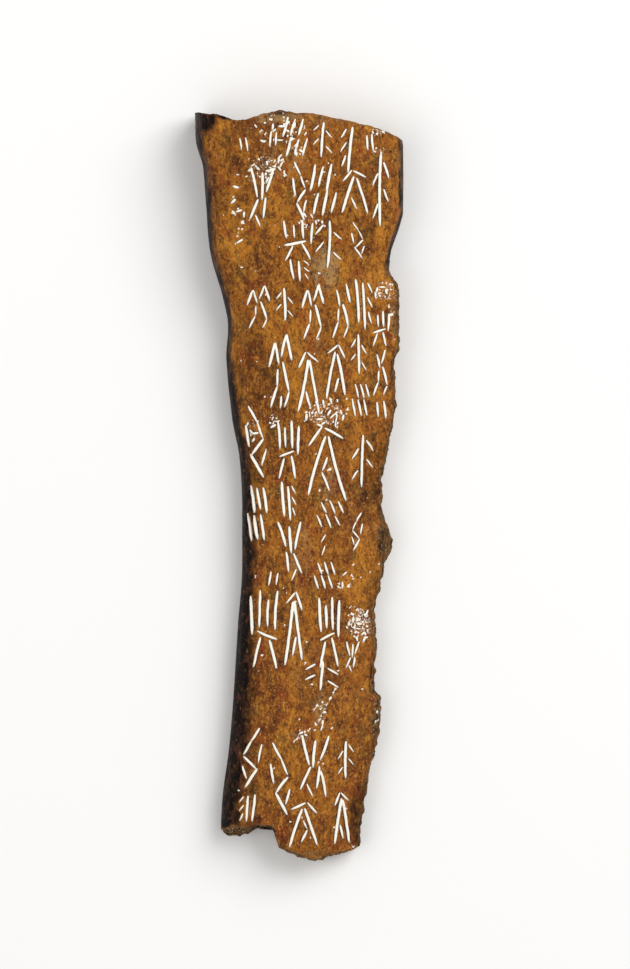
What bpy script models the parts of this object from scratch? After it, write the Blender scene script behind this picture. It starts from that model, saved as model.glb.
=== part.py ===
"""Ox scapula oracle bone: the socket end and thick border of a shoulder blade, broken off and inscribed.

The bone lies on its shaved back with the inscribed front up. X runs across it, Y along it from the
broken foot to the socket end, and Z up through it. Sizes are in metres. It is a free form, so its
outline is given in hundredths of its length, and its thicknesses and cuts are real sizes.
"""

import math
import random

import bmesh
import bpy
from mathutils import Vector, geometry, noise

# Driving dimensions
LENGTH = 0.228
SOCKET_THICKNESS = 0.0205
COLUMN_THICKNESS = 0.0125
BLADE_THICKNESS = 0.0062
CROWN_RISE = 0.0022
BACK_ROLL = 0.005
RIM_ROLL = 0.003
BREAK_ROUGHNESS = 0.0004

# The shallow cup of the shoulder joint in the socket end
SOCKET_HALF_WIDTH = 0.021
SOCKET_HALF_HEIGHT = 0.0062
SOCKET_DEPTH = 0.005

# The charring hollows in the back: a long chiselled one with a round drilled one beside it
HOLLOW_LENGTH = 0.0145
HOLLOW_WIDTH = 0.0066
HOLLOW_DEPTH = 0.0035
DRILL_DIAMETER = 0.0075
DRILL_DEPTH = 0.0026

# The cut strokes of the inscription: strokes shorter than a full one are narrower too
STROKE_WIDTH = 0.0015
STROKE_DEPTH = 0.0009
FULL_STROKE = 0.006
STROKE_GAP = 0.0002
EDGE_MARGIN = 0.0012

# Mesh fineness: shares across at which the left roll gets lines of its own, and the longest step
# between two lines along the bone, in hundredths of its length
ROLL_LINES = (0.008, 0.03)
LONGEST_STEP = 4.4

# One hundredth of the length, the unit of the outline tables and of the places of the signs
HUNDREDTH = LENGTH / 100

# Share through the thickness at which the rolled edges turn from front to back, and the share of a
# roll's width at which it starts, which leaves a narrow upright face at its outer edge
WAIST = 0.36
ROLL_START = 0.012

# (height, offset from the middle) of the smooth thick border, on the left
LEFT_EDGE = (
    (0.0, -10.4), (8.0, -10.2), (17.4, -9.1), (31.7, -8.1), (38.0, -7.6), (48.0, -7.55), (54.0, -8.0),
    (58.7, -8.9), (66.6, -9.6), (71.4, -9.4), (75.0, -10.1), (80.9, -11.7), (87.3, -12.3), (92.5, -12.8),
    (95.2, -13.65), (99.0, -13.83), (100.0, -13.83),
)

# (height, offset from the middle) of the other side: the break of the thin blade, then the neck's edge
RIGHT_EDGE = (
    (0.0, 8.0), (4.7, 8.2), (12.6, 9.5), (17.0, 10.7), (21.8, 10.9), (22.8, 9.9), (28.5, 10.3),
    (33.3, 10.0), (36.5, 10.8), (39.6, 11.4), (41.2, 12.2), (42.8, 12.5), (44.4, 11.9), (46.0, 11.1),
    (50.8, 11.0), (54.2, 11.7), (57.1, 12.2), (60.3, 12.9), (66.6, 12.7), (68.2, 13.3), (76.2, 13.3),
    (78.6, 11.9), (81.2, 12.3), (84.1, 13.3), (86.0, 13.8), (95.2, 13.8), (100.0, 12.9),
)

# (share across, height) of the worn socket end and of the broken foot with its notch
TOP_EDGE = (
    (0.0, 99.5), (0.12, 99.2), (0.18, 98.6), (0.25, 98.5), (0.33, 99.4), (0.42, 100.0), (0.50, 99.6),
    (0.58, 99.5), (0.68, 98.9), (0.78, 98.3), (0.88, 97.6), (0.95, 96.8), (1.0, 96.0),
)
FOOT_EDGE = (
    (0.0, 3.8), (0.07, 3.3), (0.18, 3.6), (0.25, 4.3), (0.37, 4.2), (0.42, 1.8), (0.50, 1.1),
    (0.58, 0.5), (0.68, 0.0), (0.78, 0.6), (0.88, 1.1), (0.95, 1.4), (1.0, 2.2),
)

# (share across, set-back) of the front edge from the back edge at each end, where the break slopes
TOP_SET_BACK = ((0.0, 0.2), (0.25, 0.3), (0.33, 0.4), (0.42, 0.8), (0.50, 0.7), (0.58, 0.3), (1.0, 0.3))
FOOT_SET_BACK = ((0.0, 1.4), (0.18, 1.3), (0.25, 0.8), (0.37, 0.8), (0.42, 0.4), (1.0, 0.6))

# (height, set-back) of the front edge from the back edge along the broken side
SIDE_SET_BACK = ((0.0, 0.3), (38.0, 0.4), (42.0, 0.9), (47.0, 0.3), (75.0, 0.4), (79.0, 0.0), (100.0, 0.0))

# (height, width of the rolled front border on the left)
LEFT_ROLL = ((0.0, 0.0095), (30.0, 0.0085), (48.0, 0.0058), (62.0, 0.0062), (75.0, 0.0042), (100.0, 0.0045))

# (height, share) of how far the right side is the neck's own rounded edge and not a break
NATURAL_RIM = ((0.0, 0.0), (76.5, 0.0), (80.0, 1.0), (100.0, 1.0))

# (height, thickness share) along the thick border and along the right side
COLUMN_SWELL = ((0.0, 0.0), (55.0, 0.08), (75.0, 0.35), (90.0, 0.85), (100.0, 1.0))
BLADE_SWELL = ((0.0, 0.0), (45.0, 0.05), (70.0, 0.22), (85.0, 0.45), (100.0, 0.55))

# (offset from the middle, height) of the chiselled hollow of each pair
HOLLOWS = (
    (1.2, 12.0), (1.4, 24.5), (1.8, 37.0), (2.0, 49.5), (2.2, 62.0), (2.6, 74.5), (3.0, 87.0),
    (-5.6, 68.2), (-6.4, 80.8),
)

# (motif, offset from the middle, height, width, tallness) of each sign, by column from the left
SIGNS = (
    ("sheaf", -4.9, 88.0, 3.4, 7.3), ("crest", -5.4, 73.6, 2.9, 5.4), ("weave", -5.7, 55.9, 2.8, 9.0),
    ("rain", -5.6, 46.3, 2.6, 6.9), ("fence", -4.6, 30.9, 3.8, 9.6), ("weave", -6.2, 14.0, 2.7, 7.6),
    ("fall", -6.7, 7.2, 2.5, 3.4), ("dashes", -7.3, 95.0, 1.0, 1.7), ("dashes", -3.4, 95.7, 1.0, 2.1),
    ("rain", -0.4, 96.0, 3.4, 5.0), ("weave", 0.1, 88.9, 1.9, 7.5), ("fence", -0.1, 82.4, 4.1, 5.0),
    ("fall", -0.1, 78.5, 3.0, 2.6), ("thorns", -1.9, 73.9, 2.1, 3.6), ("crest", -2.5, 65.1, 3.0, 9.3),
    ("dashes", -2.9, 61.0, 1.4, 1.9), ("fence", -1.4, 54.7, 3.0, 7.2), ("fall", -1.5, 47.9, 2.2, 4.3),
    ("sheaf", -1.2, 41.2, 3.4, 7.3), ("dashes", -3.4, 37.6, 1.3, 1.8), ("arch", -0.7, 31.3, 2.3, 8.8),
    ("weave", -2.5, 11.2, 2.7, 9.2), ("arch", 0.6, 5.2, 3.7, 5.4), ("thorns", 3.1, 95.7, 2.4, 4.2),
    ("rain", 3.3, 89.0, 3.6, 6.6), ("thorns", 3.9, 82.0, 3.3, 5.5), ("crest", 1.8, 73.0, 2.8, 7.0),
    ("arch", 1.3, 63.7, 2.8, 7.7), ("crest", 5.5, 73.1, 2.5, 6.8), ("arch", 4.9, 65.2, 2.5, 6.6),
    ("arch", 3.7, 53.1, 5.0, 8.9), ("rain", 4.0, 46.2, 3.8, 3.4), ("fall", 4.2, 42.9, 2.6, 4.6),
    ("rain", 3.3, 38.1, 2.9, 3.4), ("fence", 4.0, 30.6, 2.9, 8.8), ("thorns", 3.0, 24.8, 4.2, 3.4),
    ("sheaf", 2.1, 12.8, 4.1, 7.8), ("fall", 7.1, 94.6, 3.3, 5.4), ("arch", 7.4, 88.9, 3.4, 5.3),
    ("weave", 7.8, 82.4, 1.8, 4.6), ("fall", 8.4, 74.1, 2.7, 5.8), ("thorns", 7.9, 67.3, 2.0, 4.6),
    ("rain", 8.1, 61.4, 2.4, 4.2), ("thorns", 8.4, 53.3, 2.7, 5.9), ("weave", 7.7, 43.9, 1.5, 4.8),
    ("sheaf", 7.1, 27.3, 1.9, 3.8), ("thorns", 6.2, 13.6, 2.0, 4.4), ("arch", 5.7, 6.0, 2.0, 6.4),
    ("dashes", 9.4, 95.3, 1.0, 2.2), ("thorns", 10.8, 89.0, 2.0, 8.2), ("fence", 10.8, 70.8, 2.4, 4.5),
    ("crest", 10.8, 65.0, 2.3, 5.9), ("dashes", 10.9, 60.0, 1.4, 2.2),
)


def clear_scene():
    """Remove every object, so that only the bone is left at the end."""
    for item in list(bpy.data.objects):
        bpy.data.objects.remove(item, do_unlink=True)


def new_collection(name):
    """Return a new collection that hangs in the scene."""
    group = bpy.data.collections.new(name)
    bpy.context.scene.collection.children.link(group)
    return group


def between(table, at):
    """Read a table of (place, value) pairs, straight from each pair to the next."""
    if at <= table[0][0]:
        return table[0][1]
    for (low, first), (high, second) in zip(table, table[1:]):
        if at <= high:
            return first + (second - first) * (at - low) / (high - low)
    return table[-1][1]


def smooth_between(table, at):
    """Read a table of (place, value) pairs along a curve that passes through all of them."""
    if not table[0][0] < at < table[-1][0]:
        return between(table, at)
    after = next(i for i, pair in enumerate(table) if pair[0] >= at)
    (x1, y1), (x2, y2) = table[after - 1], table[after]
    x0, y0 = table[max(after - 2, 0)]
    x3, y3 = table[min(after + 1, len(table) - 1)]
    run = x2 - x1
    start_slope = (y2 - y0) / (x2 - x0) * run
    end_slope = (y3 - y1) / (x3 - x1) * run
    t = (at - x1) / run
    return (
        y1 * (2 * t**3 - 3 * t**2 + 1)
        + start_slope * (t**3 - 2 * t**2 + t)
        + y2 * (3 * t**2 - 2 * t**3)
        + end_slope * (t**3 - t**2)
    )


def quarter_round(distance, width):
    """Height of a quarter ellipse as a share of its full height, a distance in from its edge."""
    inward = ROLL_START + (1 - ROLL_START) * min(distance / width, 1.0)
    return math.sqrt(max(0.0, 1 - (1 - inward) ** 2))


def left_edge(height):
    """X of the thick border at a height given in hundredths of the length."""
    return smooth_between(LEFT_EDGE, height) * HUNDREDTH


def right_edge(height):
    """X of the right side at a height given in hundredths of the length."""
    broken = 1 - between(NATURAL_RIM, height)
    chipped = noise.noise(Vector((0.0, height * 0.9, 3.7))) * BREAK_ROUGHNESS
    return between(RIGHT_EDGE, height) * HUNDREDTH + broken * chipped


def full_thickness(across, height):
    """Thickness of the bone before its edges roll, at a share across and a height in hundredths."""
    swell = SOCKET_THICKNESS - COLUMN_THICKNESS
    column = COLUMN_THICKNESS + swell * between(COLUMN_SWELL, height)
    blade = BLADE_THICKNESS + (SOCKET_THICKNESS - BLADE_THICKNESS) * between(BLADE_SWELL, height)
    return column + (blade - column) * across + CROWN_RISE * 4 * across * (1 - across)


def face_heights(across, height):
    """Z of the back and of the front of the bone, with both sides rolled over."""
    width = right_edge(height) - left_edge(height)
    from_left, from_right = across * width, (1 - across) * width
    natural = between(NATURAL_RIM, height)
    left_roll = between(LEFT_ROLL, height)
    front_share = quarter_round(from_left, left_roll)
    front_share *= 1 - natural * (1 - quarter_round(from_right, RIM_ROLL))
    back_share = quarter_round(from_left, BACK_ROLL)
    back_share *= 1 - natural * (1 - quarter_round(from_right, RIM_ROLL))
    thickness = full_thickness(across, height)
    waist = WAIST * thickness
    return waist * (1 - back_share), waist + (thickness - waist) * front_share


def bone_point(across, along, through):
    """Point of the bone from its shares across, along and through, each from 0 to 1."""
    foot = between(FOOT_EDGE, across) + between(FOOT_SET_BACK, across) * through
    top = between(TOP_EDGE, across) - between(TOP_SET_BACK, across) * through
    height = foot + (top - foot) * along
    left, right = left_edge(height), right_edge(height)
    right -= between(SIDE_SET_BACK, height) * HUNDREDTH * through
    back, front = face_heights(across, height)
    return Vector((
        left + (right - left) * across,
        (height - 50) * HUNDREDTH,
        back + (front - back) * through,
    ))


def front_point(x, y):
    """Point of the inscribed front at a place seen from above."""
    height = y / HUNDREDTH + 50
    left = left_edge(height)
    right = right_edge(height) - between(SIDE_SET_BACK, height) * HUNDREDTH
    across = min(max((x - left) / (right - left), 0.0), 1.0)
    return Vector((x, y, face_heights(across, height)[1]))


def lines_along():
    """Shares along the bone that get a mesh line: each corner of the broken side, and steps between."""
    low, high = FOOT_EDGE[-1][1], TOP_EDGE[-1][1]
    corners = [0.0, 1.0]
    corners += [(height - low) / (high - low) for height, _ in RIGHT_EDGE if low < height < high]
    corners.sort()
    lines = []
    for start, end in zip(corners, corners[1:]):
        steps = max(1, math.ceil((end - start) * 100 / LONGEST_STEP))
        lines += [start + (end - start) * i / steps for i in range(steps)]
    return lines[1:]


def lines_across():
    """Shares across the bone that get a mesh line: each corner of both ends, and those of the roll."""
    corners = {share for share, _ in TOP_EDGE + FOOT_EDGE if 0 < share < 1}
    return sorted(corners.union(ROLL_LINES))


def make_bone(group):
    """Return the bone: a cube cut by lines in three directions, each of its points moved into place."""
    bpy.ops.mesh.primitive_cube_add(size=1, location=(0, 0, 0))
    bone = bpy.context.object
    bone.name = "scapula"
    for holder in list(bone.users_collection):
        holder.objects.unlink(bone)
    group.objects.link(bone)
    shape = bmesh.new()
    shape.from_mesh(bone.data)
    bmesh.ops.translate(shape, verts=shape.verts, vec=(0.5, 0.5, 0.5))
    cuts = ((lines_across(), (1, 0, 0)), (lines_along(), (0, 1, 0)), ([WAIST], (0, 0, 1)))
    for shares, direction in cuts:
        for share in shares:
            everything = shape.verts[:] + shape.edges[:] + shape.faces[:]
            bmesh.ops.bisect_plane(
                shape, geom=everything, plane_co=Vector(direction) * share, plane_no=direction, dist=1e-6
            )
    for corner in shape.verts:
        corner.co = bone_point(*corner.co)
    shape.to_mesh(bone.data)
    shape.free()
    return bone


def rounded_cutter(group, name, centre, half_sizes, segments=12, rings=6):
    """Return a hidden ellipsoid for a Boolean to cut with."""
    bpy.ops.mesh.primitive_uv_sphere_add(segments=segments, ring_count=rings, radius=1, location=centre)
    cutter = bpy.context.object
    cutter.name = name
    cutter.scale = half_sizes
    bpy.ops.object.transform_apply(location=False, rotation=False, scale=True)
    for holder in list(cutter.users_collection):
        holder.objects.unlink(cutter)
    group.objects.link(cutter)
    cutter.display_type = "WIRE"
    cutter.hide_render = True
    return cutter


def socket_cutter(group):
    """Return the cutter of the joint's cup, set in the middle of the socket end."""
    rim = bone_point(0.47, 1.0, 0.5)
    half_sizes = (SOCKET_HALF_WIDTH, SOCKET_DEPTH, SOCKET_HALF_HEIGHT)
    return rounded_cutter(group, "socket_cutter", rim, half_sizes, segments=20, rings=10)


def hollow_cutters(group):
    """Return the cutters of all the hollows in the back, a long one and a round one for each place."""
    cutters = []
    for number, (offset, height) in enumerate(HOLLOWS):
        centre = Vector((offset * HUNDREDTH, (height - 50) * HUNDREDTH, 0.0))
        long_sizes = (HOLLOW_WIDTH / 2, HOLLOW_LENGTH / 2, HOLLOW_DEPTH)
        cutters.append(rounded_cutter(group, f"chisel_cutter_{number}", centre, long_sizes))
        beside = centre + Vector(((HOLLOW_WIDTH + DRILL_DIAMETER) * 0.42, 0.0, 0.0))
        round_sizes = (DRILL_DIAMETER / 2, DRILL_DIAMETER / 2, DRILL_DEPTH)
        cutters.append(rounded_cutter(group, f"drill_cutter_{number}", beside, round_sizes))
    return cutters


def rain(draw):
    """Slanting strokes in two staggered rows, all leaning the same way."""
    strokes = []
    for row, places in ((0.27, (-0.42, -0.12, 0.18)), (-0.26, (-0.30, 0.02, 0.34))):
        for place in places:
            reach = draw.uniform(0.17, 0.24)
            strokes.append((place - 0.07, row - reach, place + 0.09, row + reach))
    return strokes


def arch(draw):
    """Two long legs that part downward, short slants over them and a bent stroke between."""
    foot = draw.uniform(-0.50, -0.38)
    strokes = [(-0.08, 0.30, -0.46, foot), (0.08, 0.30, 0.46, -0.48), (0.00, 0.06, -0.12, -0.12)]
    strokes += [(-0.46, 0.26, -0.16, 0.50), (-0.04, 0.50, 0.40, 0.36), (-0.12, -0.17, 0.06, -0.42)]
    return strokes


def sheaf(draw):
    """Strokes that lean in to a waist off the middle, and uneven ones that part beneath it."""
    strokes = [(-0.40, 0.50, -0.20, 0.06), (0.02, 0.42, draw.uniform(-0.06, 0.02), 0.00)]
    strokes += [(0.44, 0.50, 0.18, 0.12), (-0.16, -0.04, -0.44, -0.36), (0.14, -0.02, 0.06, -0.34)]
    strokes += [(0.20, -0.10, draw.uniform(0.34, 0.46), -0.50), (-0.24, -0.32, -0.08, -0.50)]
    return strokes


def thorns(draw):
    """A long leaning stem with slanting barbs beside it, at uneven heights."""
    lean = draw.uniform(-0.08, 0.08)
    strokes = [(lean, 0.50, -lean, -0.50)]
    for side, place in ((-1, 0.36), (1, 0.18), (-1, -0.06), (1, -0.30)):
        strokes.append((side * 0.22, place + 0.08, side * 0.50, place - draw.uniform(0.06, 0.14)))
    return strokes


def weave(draw):
    """Strokes that follow a long bend, end to end with small gaps, and two beside them."""
    reach = draw.uniform(0.30, 0.44)
    strokes = [(0.34, 0.50, -0.04, 0.29), (-0.08, 0.26, -reach, 0.06), (-reach, 0.01, 0.16, -0.19)]
    strokes += [(0.20, -0.22, -0.30, -0.50), (0.46, 0.20, 0.32, -0.06), (-0.46, -0.16, -0.28, -0.36)]
    return strokes


def crest(draw):
    """Two open peaks at different heights, and bent strokes that part beneath them."""
    strokes = [(-0.50, 0.18, -0.31, 0.50), (-0.25, 0.49, -0.06, 0.22), (0.06, 0.12, 0.20, 0.39)]
    strokes += [(0.26, 0.38, 0.48, 0.08), (-0.14, 0.10, -0.38, -0.27), (0.10, 0.02, 0.12, -0.20)]
    strokes += [(0.15, -0.24, 0.40, -0.50), (-0.38, -0.31, draw.uniform(-0.26, -0.16), -0.50)]
    return strokes


def fence(draw):
    """Uprights of uneven height side by side, a slant under them and two feet."""
    strokes = [(-0.46, 0.48, -0.38, draw.uniform(0.00, 0.08)), (-0.15, 0.38, -0.12, 0.08)]
    strokes += [(0.14, 0.50, 0.17, 0.08), (0.46, 0.42, 0.42, -0.04), (-0.38, -0.12, 0.22, -0.02)]
    strokes += [(-0.20, -0.18, -0.40, -0.50), (0.14, -0.12, draw.uniform(0.24, 0.40), -0.48)]
    return strokes


def fall(draw):
    """Two long strokes going down unevenly, with short slants beside them."""
    strokes = [(-0.34, 0.50, -0.20, -0.40), (0.02, 0.42, draw.uniform(0.04, 0.18), -0.50)]
    strokes += [(0.26, 0.46, 0.46, 0.26), (0.27, 0.12, 0.48, -0.08), (0.30, -0.20, 0.44, -0.44)]
    return strokes


def dashes(draw):
    """Two short slants side by side."""
    lean = draw.uniform(0.10, 0.20)
    return [(-0.30 - lean, 0.42, -0.30, -0.34), (0.24, 0.50, 0.30 + lean, -0.40)]


MOTIFS = {
    "rain": rain, "arch": arch, "sheaf": sheaf, "thorns": thorns, "weave": weave, "crest": crest,
    "fence": fence, "fall": fall, "dashes": dashes,
}


def signs():
    """Yield each stroke of each sign as its two ends seen from above and its width."""
    for number, (motif, offset, height, width, tallness) in enumerate(SIGNS):
        draw = random.Random(number)
        side = draw.choice((-1, 1))
        for x0, y0, x1, y1 in MOTIFS[motif](draw):
            ends = [
                Vector((
                    (offset + side * x * width) * HUNDREDTH,
                    (height + y * tallness - 50) * HUNDREDTH,
                ))
                for x, y in ((x0, y0), (x1, y1))
            ]
            fullness = min(1.0, (ends[1] - ends[0]).length / FULL_STROKE)
            yield ends[0], ends[1], STROKE_WIDTH * (0.55 + 0.45 * fullness) * draw.uniform(0.9, 1.1)


def half_width(share, width):
    """Half the width of a stroke at a share of its length: nothing at its ends, full in the middle."""
    return width * min(share, 1 - share)


def strokes_apart(first, second):
    """Whether two strokes stay clear of each other, as the cuts of a careful hand do."""
    if geometry.intersect_line_line_2d(first[0], first[1], second[0], second[1]):
        return False
    for (a, b, width), (c, d, other_width) in ((first, second), (second, first)):
        for share in (0.0, 0.25, 0.5, 0.75, 1.0):
            point = a.lerp(b, share)
            _, other_share = geometry.intersect_point_line(point, c, d)
            other_share = min(max(other_share, 0.0), 1.0)
            reach = half_width(share, width) + half_width(other_share, other_width)
            if (point - c.lerp(d, other_share)).length < reach + STROKE_GAP:
                return False
    return True


def inside_front(x, y):
    """Whether a place lies on the front, with the margin that keeps strokes off its edges."""
    height = y / HUNDREDTH + 50
    left = left_edge(height) + EDGE_MARGIN
    right = right_edge(height) - between(SIDE_SET_BACK, height) * HUNDREDTH - EDGE_MARGIN
    if not left < x < right:
        return False
    across = (x - left) / (right - left)
    foot = between(FOOT_EDGE, across) + between(FOOT_SET_BACK, across)
    top = between(TOP_EDGE, across) - between(TOP_SET_BACK, across)
    margin = EDGE_MARGIN / HUNDREDTH
    return foot + margin < height < top - margin


def inscription():
    """Return the strokes that are cut: those on the front that stay clear of all before them."""
    kept = []
    for stroke in signs():
        on_front = inside_front(*stroke[0]) and inside_front(*stroke[1])
        if on_front and all(strokes_apart(stroke, other) for other in kept):
            kept.append(stroke)
    return kept


def groove_cutter(shape, start, end, width):
    """Add a boat-shaped cutter for one stroke: four sides that meet in a point at either end."""
    middle = (start + end) / 2
    along = (end - start).normalized()
    sideways = Vector((-along.y, along.x)) * width / 2
    places = [start, end, middle + sideways, middle - sideways]
    first, last, left, right = (front_point(*place) for place in places)
    normal = (last - first).cross(left - right).normalized()
    if normal.z < 0:
        normal.negate()
    crest = front_point(*middle)
    deep, high = crest - normal * STROKE_DEPTH, crest + normal * STROKE_DEPTH
    bmesh.ops.convex_hull(shape, input=[shape.verts.new(p) for p in (first, last, left, right, deep, high)])


def stroke_cutter(group):
    """Return one hidden mesh that holds the cutters of every stroke."""
    shape = bmesh.new()
    for start, end, width in inscription():
        groove_cutter(shape, start, end, width)
    bmesh.ops.recalc_face_normals(shape, faces=shape.faces)
    mesh = bpy.data.meshes.new("stroke_cutter")
    shape.to_mesh(mesh)
    shape.free()
    cutter = bpy.data.objects.new("stroke_cutter", mesh)
    group.objects.link(cutter)
    cutter.display_type = "WIRE"
    cutter.hide_render = True
    return cutter


def cut(target, cutter):
    """Take a cutter's shape out of a target."""
    boolean = target.modifiers.new(cutter.name, "BOOLEAN")
    boolean.operation = "DIFFERENCE"
    boolean.solver = "EXACT"
    boolean.object = cutter


def old_bone_material():
    """Return the finish of the buried bone: brown, matt, with a slight polish."""
    material = bpy.data.materials.new("old_bone")
    material.use_nodes = True
    shader = material.node_tree.nodes["Principled BSDF"]
    shader.inputs["Base Color"].default_value = (0.27, 0.11, 0.018, 1.0)
    shader.inputs["Roughness"].default_value = 0.55
    shader.inputs["Metallic"].default_value = 0.0
    return material


def main():
    """Build the bone and cut its socket, its hollows and its inscription."""
    clear_scene()
    group = new_collection("ox_scapula_oracle_bone")
    cutters = new_collection("cutters")
    bone = make_bone(group)
    bone.data.materials.append(old_bone_material())
    cut(bone, socket_cutter(cutters))
    for cutter in hollow_cutters(cutters):
        cut(bone, cutter)
    cut(bone, stroke_cutter(cutters))
    bone.data.shade_smooth()
    bone.data.set_sharp_from_angle(angle=math.radians(35))


main()
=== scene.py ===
"""Looks of the ox scapula oracle bone: it lies on its shaved back and the camera looks straight down.

The bone is one piece that stands for the CAD solid. It is the same form, worked out by the same rules
and drawn much finer, with its grain, pits, broken faces and cut strokes modelled. The white paste in
the strokes is a second piece that lies just under the surface.
"""

import logging
import math
import random
from dataclasses import dataclass
from enum import Enum
from typing import Callable, Iterator

import bpy
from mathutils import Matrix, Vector, geometry, noise


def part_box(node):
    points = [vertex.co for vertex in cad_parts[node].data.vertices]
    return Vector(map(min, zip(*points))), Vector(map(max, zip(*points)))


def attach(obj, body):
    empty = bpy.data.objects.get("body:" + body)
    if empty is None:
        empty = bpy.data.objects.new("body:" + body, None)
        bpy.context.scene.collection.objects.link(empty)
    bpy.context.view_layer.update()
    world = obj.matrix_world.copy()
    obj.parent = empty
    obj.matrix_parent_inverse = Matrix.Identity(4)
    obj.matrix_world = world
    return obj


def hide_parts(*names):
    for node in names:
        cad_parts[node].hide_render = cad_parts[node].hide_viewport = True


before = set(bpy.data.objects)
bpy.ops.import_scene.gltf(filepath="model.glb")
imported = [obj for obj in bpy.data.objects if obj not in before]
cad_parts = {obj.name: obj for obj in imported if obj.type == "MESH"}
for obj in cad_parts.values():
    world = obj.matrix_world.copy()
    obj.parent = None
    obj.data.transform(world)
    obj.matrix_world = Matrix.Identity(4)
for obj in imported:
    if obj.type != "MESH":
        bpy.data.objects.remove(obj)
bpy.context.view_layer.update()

log = logging.getLogger("oracle_bone")

NODE = "scapula"
MM = 0.001
Table = tuple[tuple[float, float], ...]
Patches = tuple[tuple[float, float, float, float, float], ...]
Ends = tuple[float, float, float, float]
Links = dict[str, bpy.types.NodeSocket]


def between(table: Table, at: float) -> float:
    """Read a table of (place, value) pairs, straight from each pair to the next.

    Args:
        table: The pairs, in rising order of place.
        at: The place to read.

    Returns:
        The value there.
    """
    if at <= table[0][0]:
        return table[0][1]
    for (low, first), (high, second) in zip(table, table[1:]):
        if at <= high:
            return first + (second - first) * (at - low) / (high - low)
    return table[-1][1]


def smooth_between(table: Table, at: float) -> float:
    """Read a table of (place, value) pairs along a curve that passes through all of them.

    Args:
        table: The pairs, in rising order of place.
        at: The place to read.

    Returns:
        The value there.
    """
    if not table[0][0] < at < table[-1][0]:
        return between(table, at)
    after = next(i for i, pair in enumerate(table) if pair[0] >= at)
    (x1, y1), (x2, y2) = table[after - 1], table[after]
    x0, y0 = table[max(after - 2, 0)]
    x3, y3 = table[min(after + 1, len(table) - 1)]
    run = x2 - x1
    start_slope = (y2 - y0) / (x2 - x0) * run
    end_slope = (y3 - y1) / (x3 - x1) * run
    t = (at - x1) / run
    return (
        y1 * (2 * t**3 - 3 * t**2 + 1)
        + start_slope * (t**3 - 2 * t**2 + t)
        + y2 * (3 * t**2 - 2 * t**3)
        + end_slope * (t**3 - t**2)
    )


def ease(low: float, high: float, at: float) -> float:
    """Rise smoothly from 0 at low to 1 at high.

    Args:
        low: Where the rise starts.
        high: Where it ends.
        at: The place to read.

    Returns:
        A share from 0 to 1.
    """
    t = min(max((at - low) / (high - low), 0.0), 1.0)
    return t * t * (3 - 2 * t)


def blot(x: float, y: float, size: float, seed: float, stretch: float = 1.0) -> float:
    """Soft irregular variation over a face seen from above.

    Args:
        x: Place across, in metres.
        y: Place along, in metres.
        size: Size of its patches across, in metres.
        seed: Which pattern.
        stretch: How many times longer the patches are along the bone than across it.

    Returns:
        A value from about -1 to 1.
    """
    return noise.noise(Vector((x / size, y / (size * stretch), seed)))


@dataclass(frozen=True)
class Ripple:
    """One layer of unevenness over a face: how strong it is, and its patches' size, seed and stretch."""

    strength: float
    size: float
    seed: float
    stretch: float = 1.0

    def at(self, x: float, y: float) -> float:
        """Its value at a place seen from above."""
        return self.strength * blot(x, y, self.size, self.seed, self.stretch)


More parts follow.
